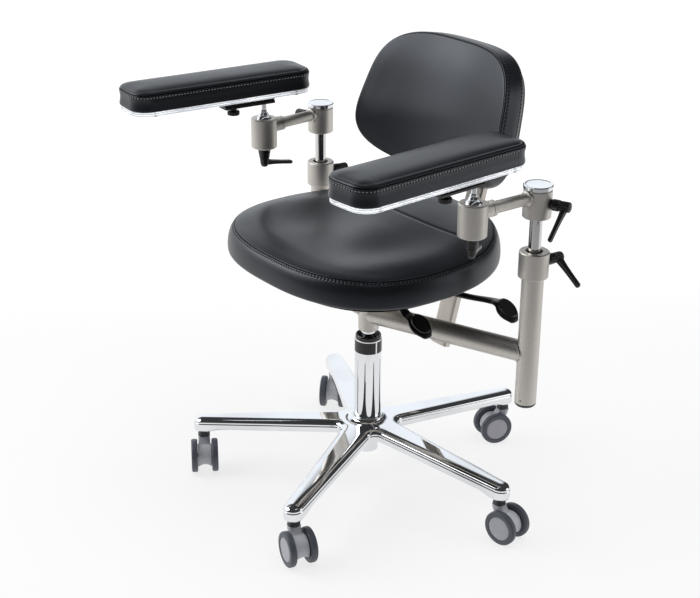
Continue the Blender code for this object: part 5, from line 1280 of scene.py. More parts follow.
@dataclass
class Cushion(SubAssembly):
    """A padded form: flat below, a side band, and a crowned top panel sewn to it.

    It is made lying flat, puffed by a cloth simulation that its seams hold down, then carved along its seams
    and sewn, and at last set in its place.
    """

    outline: Outline
    profile: list[Pair]
    held: tuple[int, ...]
    creases: tuple[tuple[int, float, float], ...]
    rows: tuple[int, ...]
    crown: Callable[[np.ndarray, np.ndarray, np.ndarray], np.ndarray]
    lift: Callable[[np.ndarray, np.ndarray], np.ndarray]
    bottom_grid: int
    cap: float = 0.005
    pressure: float = 4.0
    pitch: float = 0.0068
    stitch: Corner = (0.0021, 0.00062, 0.00052)
    extra_crease: Callable[[np.ndarray], np.ndarray] | None = None
    thread: Finishes = Finishes.THREAD
    lines: list[np.ndarray] = field(default_factory=list)

    def ring(self, row: int) -> np.ndarray:
        """Give one ring of the profile, with the seat's own rise and fall in it."""
        inset, height = self.profile[row]
        plan = self.outline.grown(-inset)
        share = min(1.0, max(0.0, height / self.profile[self.held[-1]][1]))
        return np.column_stack([plan, height + share * self.lift(plan[:, 0], plan[:, 1])])

    def blank(self, name: str) -> Piece:
        """Skin the profile's rings, and close them below and above with grids; shape the top panel."""
        rings = [self.ring(row) for row in range(len(self.profile))]
        count = len(rings[0])
        piece = Bench.skinned(name, rings, (Ends.GRID, Ends.GRID), self.bottom_grid)
        place = vertices(piece)
        edge = rings[-1]
        top = np.arange(len(place)) >= count * len(rings)
        level = 0.5 * (self.profile[0][1] + self.profile[-1][1])
        top &= place[:, 2] > level
        tree = self.tree_of(self.ring(self.held[-1]) * (1.0, 1.0, 0))
        spots = place[top]
        far = np.array([tree.find((x, y, 0))[2] for x, y, _ in spots])
        place[top, 2] = self.crown(spots[:, 0], spots[:, 1], far)
        log.info("%s blank: edge %.4f, crown %.4f", name, edge[:, 2].max(), place[top, 2].max())
        write_vertices(piece, place)
        return piece

    def puff(self, piece: Piece) -> None:
        """Let pressure swell the cover between the seams that hold it, and limit how far it goes."""
        before = vertices(piece)
        tree = self.tree_of(np.vstack([self.ring(row) for row in self.held]))
        group = piece.vertex_groups.new(name="held")
        floor = self.profile[0][1] + 0.0006
        held = [k for k, point in enumerate(before) if point[2] < floor or tree.find(point)[2] < 0.0004]
        group.add(held, 1.0, "REPLACE")
        Bench.only(piece)
        cover = piece.modifiers.new("cover", "CLOTH")
        settings = cover.settings
        settings.quality = 5
        settings.mass = 0.25
        settings.tension_stiffness = settings.compression_stiffness = 25.0
        settings.shear_stiffness = 12.0
        settings.bending_stiffness = 3.0
        settings.vertex_group_mass = "held"
        settings.use_pressure = True
        settings.uniform_pressure_force = self.pressure
        settings.effector_weights.gravity = 0.0
        cover.collision_settings.use_collision = False
        scene = bpy.context.scene
        for frame in range(1, 21):
            scene.frame_set(frame)
        bpy.ops.object.modifier_apply(modifier=cover.name)
        scene.frame_set(1)
        move = self.evened(piece, vertices(piece) - before, held)
        size = np.linalg.norm(move, axis=1)[:, None]
        eased = self.cap * np.tanh(size / self.cap) / np.maximum(size, 1e-9)
        write_vertices(piece, before + move * eased)
        piece.vertex_groups.clear()
        log.info("%s puffed by up to %.2f mm", piece.name, 1000 * float((size * eased).max()))

    @staticmethod
    def evened(piece: Piece, move: np.ndarray, held: list[int], rounds: int = 60) -> np.ndarray:
        """Even out the cloth's movement, so that a taut cover keeps its swelling but not fine wrinkles.

        Args:
            piece: the cover.
            move: how far each of its points moved.
            held: the points that its seams hold.
            rounds: how often each point is averaged with its neighbours.

        Returns:
            The evened movement.
        """
        ends = np.empty(2 * len(piece.data.edges), np.int32)
        piece.data.edges.foreach_get("vertices", ends)
        first, second = ends.reshape(-1, 2).T
        count = np.bincount(ends, minlength=len(move))[:, None]
        for _ in range(rounds):
            total = np.column_stack([np.bincount(first, move[second, k], len(move)) + np.bincount(second,
                move[first, k], len(move)) for k in range(3)])
            move = 0.4 * move + 0.6 * total / count
            move[held] = 0.0
        return move

    def carve(self, piece: Piece) -> None:
        """Refine the cover, then press its creases and stitched rows into it."""
        Bench.modified(piece, "SUBSURF", levels=1, render_levels=1)
        bpy.ops.object.shade_smooth()
        place = vertices(piece)
        normals = np.empty(len(place) * 3, np.float32)
        piece.data.vertex_normals.foreach_get("vector", normals)
        normals = normals.reshape(-1, 3)
        skin = skin_of(piece)
        sink = np.zeros(len(place))
        for row, depth, width in self.creases:
            tree = self.tree_of(self.on_skin(skin, self.ring(row)))
            near = np.array([tree.find(p)[2] for p in place])
            sink += depth * np.exp(-(near / width) ** 2)
        if self.extra_crease is not None:
            sink += self.extra_crease(place)
        write_vertices(piece, place - normals * sink[:, None])

    @staticmethod
    def on_skin(skin: BVHTree, ring: np.ndarray) -> np.ndarray:
        """Lay a ring's points on a surface, with three more points between each pair."""
        following = np.roll(ring, -1, 0)
        dense = np.stack([ring + (following - ring) * t for t in (0, 0.25, 0.5, 0.75)], axis=1).reshape(-1, 3)
        return np.array([skin.find_nearest(Vector(p))[0] for p in dense])

    @staticmethod
    def tree_of(points: np.ndarray) -> KDTree:
        """Make a search tree of points."""
        tree = KDTree(len(points))
        for k, point in enumerate(points):
            tree.insert(point, k)
        tree.balance()
        return tree

    def map_rows(self, piece: Piece) -> None:
        """Give the cover two maps: stitches along the nearest row with millimetres from it, and millimetres
        from the nearest deep seam, where the leather paints shade.
        """
        place = vertices(piece)
        skin = skin_of(piece)
        best = np.full(len(place), 1e9)
        along = np.zeros(len(place))
        counts = np.ones(len(place))
        self.lines = []
        for row in self.rows:
            line = self.on_skin(skin, self.ring(row))
            self.lines.append(line)
            stitches = self.stitches_on(line)
            tree = self.tree_of(line)
            for k, point in enumerate(place):
                _, nearest, distance = tree.find(point)
                if distance < best[k]:
                    best[k] = distance
                    along[k] = stitches * nearest / len(line)
                    counts[k] = stitches
        # Distance to the deep seams, which the leather reads to place its painted seam shade.
        gap = np.full(len(place), 1e9)
        for row, depth, _ in self.creases:
            if depth > 0.0006:
                tree = self.tree_of(self.on_skin(skin, self.ring(row)))
                gap = np.minimum(gap, [tree.find(p)[2] for p in place])
        corners = np.empty(len(piece.data.loops), np.int32)
        piece.data.loops.foreach_get("vertex_index", corners)
        faces = corners.reshape(-1, 4)
        u = along[faces]
        wrapped = (u.max(1) - u.min(1))[:, None] > 0.5 * counts[faces]
        u = np.where(wrapped & (u < 0.5 * counts[faces]), u + counts[faces], u)
        for layer in list(piece.data.uv_layers):
            piece.data.uv_layers.remove(layer)
        for name, across, down in (("rows", u.ravel(), best[corners]),
                ("seams", 1000.0 * gap[corners], gap[corners])):
            layer = piece.data.uv_layers.new(name=name)
            layer.data.foreach_set("uv", np.column_stack([across, 1000.0 * down]).astype(np.float32).ravel())

    def stitches_on(self, line: np.ndarray) -> int:
        """Give how many stitches fit a closed line."""
        return round(float(np.linalg.norm(np.diff(np.vstack([line, line[:1]]), axis=0),
            axis=1).sum()) / self.pitch)

    def sewn(self, name: str, piece: Piece) -> Piece:
        """Model one stitch and lay copies of it along each row."""
        bpy.ops.object.select_all(action="DESELECT")
        bpy.ops.mesh.primitive_uv_sphere_add(segments=6, ring_count=5, radius=1.0)
        model = Bench.named("stitch_model")
        bpy.ops.object.mode_set(mode="EDIT")
        bpy.ops.transform.rotate(value=math.pi / 2, orient_axis="Y", center_override=(0, 0, 0))
        bpy.ops.transform.resize(value=self.stitch)
        bpy.ops.object.mode_set(mode="OBJECT")
        shape = vertices(model)
        faces = [tuple(p.vertices) for p in model.data.polygons]
        bpy.data.objects.remove(model)
        skin = skin_of(piece)
        points, skins = [], []
        for line in self.lines:
            stitches = self.stitches_on(line)
            for k in range(stitches):
                at = (k + 0.5) / stitches * len(line)
                here = Vector(line[int(at) % len(line)]).lerp(Vector(line[(int(at) + 1) % len(line)]),
                    at % 1.0)
                ahead = (Vector(line[(int(at) + 2) % len(line)]) - Vector(line[int(at) - 1])).normalized()
                seat, normal, _, _ = skin.find_nearest(here)
                across = normal.cross(ahead).normalized()
                frame = np.array([across.cross(normal), across, normal])
                skins.append([tuple(i + len(points) for i in f) for f in faces])
                points.extend(shape @ frame + np.array(seat + normal * 0.00012))
        mesh = bpy.data.meshes.new(name)
        mesh.from_pydata([tuple(p) for p in points], [], [f for group in skins for f in group])
        sewing = bpy.data.objects.new(name, mesh)
        bpy.context.scene.collection.objects.link(sewing)
        Bench.only(sewing)
        bpy.ops.object.shade_smooth()
        return self.thread.dress(sewing)

    def made(self, name: str) -> tuple[Piece, Piece]:
        """Make the cover and its sewing, both lying flat.

        Args:
            name: the cover's name.

        Returns:
            The cover and the sewing.
        """
        piece = self.blank(name)
        self.puff(piece)
        self.carve(piece)
        self.map_rows(piece)
        sewing = self.sewn(f"{name}_sewing", piece)
        return Finishes.LEATHER.dress(piece), sewing


def vertices(piece: Piece) -> np.ndarray:
    """Give a mesh's points as rows."""
    flat = np.empty(len(piece.data.vertices) * 3)
    piece.data.vertices.foreach_get("co", flat)
    return flat.reshape(-1, 3)


def skin_of(piece: Piece) -> BVHTree:
    """Give a search tree of a mesh's faces."""
    return BVHTree.FromPolygons([tuple(p) for p in vertices(piece)],
        [tuple(p.vertices) for p in piece.data.polygons])


def write_vertices(piece: Piece, points: np.ndarray) -> None:
    """Set a mesh's points from rows."""
    piece.data.vertices.foreach_set("co", np.ascontiguousarray(points, np.float32).ravel())
    piece.data.update()


def unlifted(x: np.ndarray, y: np.ndarray) -> np.ndarray:
    """Give no rise or fall, for a cushion whose seams lie level."""
    return np.zeros(len(x))


def superellipse(half: Sequence[float], exponents: Pair, count: int = 4000) -> np.ndarray:
    """Give a dense outline.

    Args:
        half: half the width, and the lengths ahead and behind.
        exponents: the squareness ahead and behind.
        count: how many points it has.

    Returns:
        The points.
    """
    angle = around(count)
    behind = np.sin(angle) > 0.0
    exponent = np.where(behind, 2.0 / exponents[1], 2.0 / exponents[0])
    x = half[0] * np.sign(np.cos(angle)) * np.abs(np.cos(angle)) ** exponent
    y = np.where(behind, half[2], half[1]) * np.sign(np.sin(angle)) * np.abs(np.sin(angle)) ** exponent
    return np.column_stack([x, y])


@dataclass
class Seat(SubAssembly):
    """The seat: its board and the cushion with thigh hollows, a rear cross seam and one stitched edge."""

    half_width: float = 0.233
    widest: float = -0.03
    front: float = 0.192
    rear: float = 0.25
    squareness: Pair = (2.5, 2.1)
    bottom: float = 0.4436
    side_height: float = 0.061
    crown: float = 0.0105
    dish: float = 0.007
    rear_rise: float = 0.009
    rear_seam: float = 0.085
    hollow_place: Pair = (0.098, -0.06)
    hollow_depth: float = 0.005
    board_bottom: float = 0.4313
    board_thickness: float = 0.012
    board_inset: float = 0.022
    bar_relief: float = 0.0085

    def plan(self, count: int) -> Outline:
        """Give the seat's plan outline."""
        dense = superellipse((self.half_width, self.front, self.rear), self.squareness)
        return Outline.even(dense + np.array([0.0, self.widest]), count)

    def lift(self, x: np.ndarray, y: np.ndarray) -> np.ndarray:
        """Give how far the seam is raised towards the rear."""
        behind = np.clip((y - 0.03) / (0.22 - 0.03), 0.0, 1.0)
        return self.rear_rise * behind ** 1.5

    def top(self, x: np.ndarray, y: np.ndarray, far: np.ndarray) -> np.ndarray:
        """Give the top panel's height above the cushion's foot, at a distance from the seam."""
        rise = self.crown * (1.0 - np.exp(-far / 0.026))
        middle = np.clip(1.0 - (x / self.half_width) ** 2 - ((y + 0.01) / 0.21) ** 2, 0.0, 1.0)
        hx, hy = self.hollow_place
        hollows = sum(np.exp(-((x - s * hx) / 0.062) ** 2 - ((y - hy) / 0.105) ** 2) for s in (1.0, -1.0))
        edge = 1.0 - np.exp(-(far / 0.06) ** 2)
        fall = 0.006 * np.clip((-y - 0.1) / 0.11, 0.0, 1.0) ** 2
        return (self.side_height + self.lift(x, y) + rise - self.dish * middle * edge - self.hollow_depth *
            hollows * edge - fall * edge)

    def cross_seam(self, place: np.ndarray) -> np.ndarray:
        """Give how far the rear panel's seam sinks into the top."""
        above = place[:, 2] > self.side_height + 0.004
        bow = self.rear_seam + 0.1 * place[:, 0] ** 2
        return np.where(above, 0.0016 * np.exp(-((place[:, 1] - bow) / 0.003) ** 2), 0.0)

    def build(self) -> None:
        """Model, place and dress the board and the cushion."""
        h = self.side_height
        profile = [(0.055, 0), (0.045, 0.0012), (0.03, 0.0046), (0.016, 0.008), (0.006, 0.0104),
            (-0.001, 0.0122), (-0.005, 0.0136), (-0.0078, 0.015), (-0.0094, 0.0166), (-0.0102, 0.0188),
            (-0.0105, 0.0225), (-0.0105, 0.0275), (-0.0101, 0.033), (-0.0094, 0.0385), (-0.0083, 0.0435),
            (-0.0069, 0.048), (-0.0054, 0.0515), (-0.004, 0.0542), (-0.0028, 0.056), (-0.0018, 0.0573),
            (-0.001, 0.0583), (-0.0003, 0.0592), (0.0006, 0.06), (0.0015, 0.0606), (0.0024, h),
            (0.0032, h + 0.0007), (0.0044, h + 0.0014), (0.0064, h + 0.0022), (0.0094, h + 0.0031),
            (0.0135, h + 0.004), (0.0185, h + 0.0049)]
        cushion = Cushion(self.plan(384), profile, (20, 24), ((24, 0.001, 0.001), (20, 0.0004, 0.0012)),
            (20,), self.top, self.lift, 96, 0.0016, 4.0, 0.0066, extra_crease=self.cross_seam)
        cover, sewing = cushion.made("seat_cover")
        for piece in (cover, sewing):
            place = vertices(piece)
            behind = np.clip((place[:, 1] - 0.15) / 0.05, 0.0, 1.0)
            place[:, 1] -= self.bar_relief * behind * np.exp(-(place[:, 0] / 0.055) ** 2)
            write_vertices(piece, place)
            Bench.placed(piece, shift(0, 0, self.bottom))
        self.keep(cover, "black_leatherette", "seat", "seat_cushion")
        self.keep(sewing, "black_leatherette", "seat")
        plan = self.plan(120)
        low, high, inset = self.board_bottom, self.board_bottom + self.board_thickness, self.board_inset
        board = Bench.skinned("seat_board_ply", flat_rings([plan.grown(-inset - 0.03),
            plan.grown(-inset - 0.028), plan.grown(-inset), plan.grown(-inset - 0.001)],
            [low, low + 0.0006, high - 0.001, high]))
        self.finish(board, Finishes.BOARD, "seat", "seat_board")


@dataclass
class ArmRest(SubAssembly):
    """One arm: rod and cap, knuckle, tube, ball housing, ball and stud, rail, clear plate and pad."""

    side: str
    sign: float
    arm_turn: float
    pad_turn: float
    lever_heading: float
    lever_swing: float
    ball_lever_heading: float
    pad: Piece
    pad_sewing: Piece
    post: Pair = (0.3005, 0.114)
    rod_radius: float = 0.011
    rod_bottom: float = 0.331
    knuckle: Corner = (0.0245, 0.592, 0.6415)
    cap: Corner = (0.0255, 0.6419, 0.6499)
    arm_height: float = 0.628
    arm_length: float = 0.142
    tube_radius: float = 0.0105
    ferrule_radius: float = 0.0138
    ferrule_length: float = 0.02
    ring_radius: float = 0.0135
    ring_length: float = 0.003
    housing: Corner = (0.0245, 0.589, 0.646)
    ball_height: float = 0.638
    ball_radius: float = 0.016
    rail_bottom: float = 0.676
    rail: Corner = (0.03, 0.104, 0.0125)
    rail_front: float = 0.0875
    knob_forward: float = 0.064
    plate_bottom: float = 0.6888
    plate_thickness: float = 0.009
    pad_bottom: float = 0.6981
    pad_offset: Pair = (-0.0236, -0.0755)
    knuckle_splay: float = -10.0

    @property
    def slide(self) -> Matrix:
        """Give the frame of the rod, which slides in the post."""
        return shift(self.sign * self.post[0], self.post[1], 0)

    @property
    def turn(self) -> Matrix:
        """Give the frame of the arm, which swings about the rod."""
        return self.slide @ spun("Z", self.arm_turn)

    @property
    def rest(self) -> Matrix:
        """Give the frame of the rail, which turns about the stud."""
        return self.turn @ shift(0, -self.arm_length, 0) @ spun("Z", self.pad_turn - self.arm_turn)

    def placed(self, piece: Piece, finish: Finishes, frame: Matrix, body: str, *nodes: str) -> Piece:
        """Finish a piece in its frame, on a body and for nodes of this side."""
        return self.finish(piece, finish, f"{body}_{self.side}", *(f"{n}_{self.side}" for n in nodes),
            frame=frame)

    def rod(self) -> None:
        """Model the chrome rod with its round cap."""
        r, (c, low, high) = self.rod_radius, self.cap
        cap = Bench.turned(f"arm_post_cap_{self.side}", rounded([(0, high - 0.0008),
            (c - 0.005, high - 0.0007, 0.003), (c - 0.0034, high - 0.0001, 0.0008), (c - 0.001, high, 0.0009),
            (c, high - 0.0014, 0.0009), (c, low + 0.001, 0.0006), (c - 0.001, low, 0.0004), (0, low)], 4), 72)
        self.placed(cap, Finishes.CHROME, self.slide, "arm_rod")
        rod = Bench.turned(f"arm_post_{self.side}", rounded([(0, low + 0.0002), (r, low + 0.0002),
            (r, self.rod_bottom, 0.001), (0, self.rod_bottom)], 4), 72)
        self.placed(rod, Finishes.ROD, self.slide, "arm_rod", "arm_rod")

    def joint_ring(self, name: str, size: Corner, hole: float) -> Piece:
        """Model a plain round clamp body with chamfered rims and a hole."""
        r, low, high = size
        return Bench.turned(name, rounded([(hole, high), (r - 0.0015, high, 0.0003),
            (r, high - 0.0015, 0.0003), (r, low + 0.0015, 0.0003), (r - 0.0015, low, 0.0003),
            (hole + 0.0006, low, 0.0003), (hole, low + 0.0006)], 3, True), 80, True)

    def arm(self) -> None:
        """Model the knuckle, the arm's tube and the ball housing."""
        self.placed(self.joint_ring(f"knuckle_{self.side}", self.knuckle, self.rod_radius + 0.0004),
            Finishes.SATIN, self.turn, "arm", "arm_knuckle")
        r, start, end = self.tube_radius, self.knuckle[0], self.arm_length - self.housing[0]
        ferrule = end - self.ferrule_length
        angle = around(64)
        ring_end = start + self.ring_length
        stops = [(self.ring_radius, None, start), (self.ring_radius, ring_end - 0.0008, 0),
            (self.ring_radius - 0.0008, ring_end, 0), (r + 0.0012, ring_end + 0.0003, 0),
            (r, ring_end + 0.0014, 0), (r, 0.5 * (ring_end + ferrule), 0), (r, ferrule - 0.0002, 0),
            (self.ferrule_radius - 0.0012, ferrule, 0), (self.ferrule_radius, ferrule + 0.001, 0),
            (self.ferrule_radius, ferrule + 0.0075, 0), (self.ferrule_radius - 0.0006, ferrule + 0.008, 0),
            (self.ferrule_radius - 0.0006, ferrule + 0.009, 0), (self.ferrule_radius, ferrule + 0.0095, 0),
            (self.ferrule_radius, None, -self.housing[0])]
        rings = []
        for radius, run, hold in stops:
            across = radius * np.cos(angle)
            if run is None:
                bend = np.sqrt((abs(hold) - 0.0004) ** 2 - across ** 2)
                along = bend if hold > 0 else self.arm_length - bend
            else:
                along = np.full(64, run)
            rings.append(np.column_stack([across, -along, radius * np.sin(angle)]))
        tube = Bench.skinned(f"arm_bar_{self.side}", rings, (Ends.OPEN, Ends.OPEN))
        self.placed(tube, Finishes.SATIN, self.turn @ shift(0, 0, self.arm_height), "arm", "arm_tube")
        h, low, high = self.housing
        well, centre = self.ball_radius + 0.0006, self.ball_height
        lip = [(well * math.cos(a), centre + well * math.sin(a))
            for a in np.linspace(0.0, math.asin(0.0078 / well), 5)]
        body = Bench.turned(f"ball_cup_{self.side}", [*rounded([(lip[-1][0], lip[-1][1]),
            (lip[-1][0] + 0.0006, high, 0.0002), (h - 0.0015, high, 0.0003), (h, high - 0.0015, 0.0003),
            (h, low + 0.0015, 0.0003), (h - 0.0015, low, 0.0003), (0.0045, low)], 3), (0.0045, low + 0.01),
            (well, centre - 0.012), *lip[:-1]], 80, True)
        self.placed(body, Finishes.SATIN, self.turn @ shift(0, -self.arm_length, 0), "arm", "ball_housing")

    def ball(self) -> None:
        """Model the ball and the flared stud on it."""
        r = self.ball_radius
        top = self.rail_bottom - self.ball_height - 0.0003
        arc = [(r * math.cos(a), r * math.sin(a)) for a in np.linspace(-math.pi / 2, math.pi / 2, 25)]
        ball = Bench.turned(f"swivel_ball_{self.side}", [(0, -r), *arc[1:-1], (0, r)], 56)
        centre = self.turn @ shift(0, -self.arm_length, self.ball_height)
        self.placed(ball, Finishes.CHROME, centre, "ball", "ball")
        stud = Bench.turned(f"swivel_stud_{self.side}", rounded([(0, top), (0.005, top, 0.0004),
            (0.005, 0.024, 0.001), (0.0062, 0.0222, 0.0008), (0.0066, 0.019, 0.0016), (0.0094, 0.015, 0.0012),
            (0.0094, 0.0134, 0.0003), (0, 0.0161)], 4), 48)
        self.placed(stud, Finishes.CHROME, centre, "stud", "ball_stud")

    def rail_and_knob(self) -> None:
        """Model the slotted rail under the plate and its fluted knob."""
        wide, long, tall = self.rail
        half = wide / 2
        section = rounded([(half, 0, 0.001), (half, 0.0042, 0.0005), (half - 0.003, 0.0054, 0.0004),
            (half - 0.003, 0.0076, 0.0004), (half, 0.0088, 0.0005), (half, tall, 0.0006),
            (0.005, tall, 0.0003), (0.005, tall - 0.004, 0.0003), (-0.005, tall - 0.004, 0.0003),
            (-0.005, tall, 0.0003), (-half, tall, 0.0006), (-half, 0.0088, 0.0005),
            (-half + 0.003, 0.0076, 0.0004), (-half + 0.003, 0.0054, 0.0004), (-half, 0.0042, 0.0005),
            (-half, 0, 0.001)], 2, True)
        front = -self.rail_front
        rings = [np.array([(x * s, y, z) for x, z in section])
            for s, y in ((0.985, front), (1.0, front + 0.0006), (1.0, front + long - 0.0006),
            (0.985, front + long))]
        rail = Bench.skinned(f"slide_rail_{self.side}", rings)
        lift = self.rest @ shift(0, 0, self.rail_bottom)
        self.placed(rail, Finishes.BLACK, lift, "rail", "pad_rail")
        levels = ((0.3, -0.0003, 0), (0.52, -0.0003, 0), (0.52, -0.0062, 0), (0.84, -0.0064, 0),
            (0.96, -0.0072, 0.6), (1.0, -0.0084, 1.0), (1.0, -0.013, 1.0), (0.96, -0.0142, 0.6),
            (0.84, -0.0148, 0), (0.4, -0.0146, 0), (0.34, -0.014, 0))
        knob = Bench.skinned(f"slide_knob_{self.side}", flat_rings([lobed(0.0115 * s, 0.001 * cut, 16, 96)
            for s, _, cut in levels], [h for _, h, _ in levels]))
        self.placed(knob, Finishes.BLACK, lift @ shift(0, -self.knob_forward, 0), "rail_knob", "rail_knob")

    def plate_and_pad(self) -> None:
        """Model the clear plate with its screws, and set a copy of the pad on it."""
        outline = Outline.even(pad_outline(), 160)
        low, high = self.plate_bottom, self.plate_bottom + self.plate_thickness - 0.0015
        plate = Bench.skinned(f"clear_plate_{self.side}",
            flat_rings([outline.grown(g - 0.0025) for g in (-0.001, -0.0003, 0, 0, -0.0003, -0.001)],
            [low, low + 0.0003, low + 0.001, high - 0.001, high - 0.0003, high]))
        pad_frame = self.rest @ shift(*self.pad_offset, 0)
        self.placed(plate, Finishes.CLEAR, pad_frame, "pad", "pad_plate")
        screws = []
        for x, y in ((0.0437, 0.145), (-0.0437, 0.145), (0.0437, -0.145), (-0.0437, -0.145)):
            screw = Bench.turned("plate_screw", rounded([(0, 0), (0.0014, 0), (0.0017, -0.0011),
                (0.0036, -0.0016, 0.0006), (0.0043, -0.0002, 0.0003), (0.0043, 0.0002), (0.0018, 0.0003),
                (0.0018, 0.008), (0, 0.008)], 3), 24)
            screws.append(Bench.placed(screw, shift(x, y, low)))
        fixings = Bench.joined(f"plate_screws_{self.side}", *screws)
        self.placed(fixings, Finishes.STEEL, pad_frame, "pad")
        cover = Bench.copied(self.pad, f"pad_cover_{self.side}", pad_frame @ shift(0, 0, self.pad_bottom))
        sewing = Bench.copied(self.pad_sewing, f"pad_sewing_{self.side}",
            pad_frame @ shift(0, 0, self.pad_bottom))
        self.keep(cover, "black_leatherette", f"pad_{self.side}", f"pad_cushion_{self.side}")
        self.keep(sewing, "black_leatherette", f"pad_{self.side}")

    def levers(self) -> None:
        """Set the knuckle's lever and the lever under the ball housing."""
        heading = self.lever_heading - self.arm_turn
        frame = self.turn @ shift(0, 0, self.arm_height - 0.01) @ spun("Z", heading) @ spun("Y", 90.0)
        ClampLever(f"knuckle_clamp_{self.side}", f"knuckle_lever_{self.side}", frame,
            self.knuckle[0] + 0.0003, self.lever_swing, 0.01, splay=self.knuckle_splay).build()
        under = self.turn @ shift(0, -self.arm_length, self.housing[1]) @ spun("X", 180.0)
        BallLever(f"ball_clamp_{self.side}", f"ball_lever_{self.side}", under, 0.0,
            -(self.ball_lever_heading - self.arm_turn)).build()

    def build(self) -> None:
        """Model and dress the arm."""
        self.rod()
        self.arm()
        self.ball()
        self.rail_and_knob()
        self.plate_and_pad()
        self.levers()


def pad_outline(width: float = 0.103, length: float = 0.368, corner: float = 0.033) -> np.ndarray:
    """Give a pad's dense plan outline: a rectangle with round corners, counter-clockwise."""
    x, y = width / 2 - corner, length / 2 - corner
    points = []
    for k, (cx, cy) in enumerate(((x, y), (-x, y), (-x, -y), (x, -y))):
        points += [(cx + corner * math.cos(a), cy + corner * math.sin(a))
            for a in np.linspace(k * math.pi / 2, (k + 1) * math.pi / 2, 60)]
    return evenly(np.array(points), 4000)


@dataclass
class ArmPad:
    """The arm pad's cover and sewing, made once for both arms."""

    side_height: float = 0.03
    crown: float = 0.0095
    draw_in: float = 0.0022

    def top(self, x: np.ndarray, y: np.ndarray, far: np.ndarray) -> np.ndarray:
        """Give the top panel's height at a distance from the seam."""
        return self.side_height + self.crown * (1.0 - np.exp(-far / 0.0125))

    def made(self) -> tuple[Piece, Piece]:
        """Make the pad's cover and sewing, lying at the origin."""
        h, d = self.side_height, self.draw_in
        profile = [(0.0065, -0.0014), (0.004, -0.0013), (0.0021, -0.001), (0.0009, -0.0002), (0.0003, 0.0014),
            (0.45 * d, 0.0056), (0.8 * d, 0.01), (d, 0.014), (0.95 * d, 0.0178), (0.75 * d, 0.0212),
            (0.0011, 0.0236), (0.0009, 0.0252), (0.0008, 0.0268), (0.001, 0.0284), (0.0014, 0.0294),
            (0.0019, h), (0.0022, h + 0.0008), (0.0029, h + 0.0017), (0.0044, h + 0.0029),
            (0.0066, h + 0.0042)]
        # The pads' stitches take the thread whose pale colour is a painted highlight.
        cushion = Cushion(Outline.even(pad_outline(), 320), profile, (11, 15),
            ((15, 0.0008, 0.001), (11, 0.0004, 0.0012)), (11,), self.top, unlifted, 40, 0.001, 4.0, 0.006,
            (0.0022, 0.0009, 0.00065), thread=Finishes.PALE_THREAD)
        return cushion.made("pad_model")


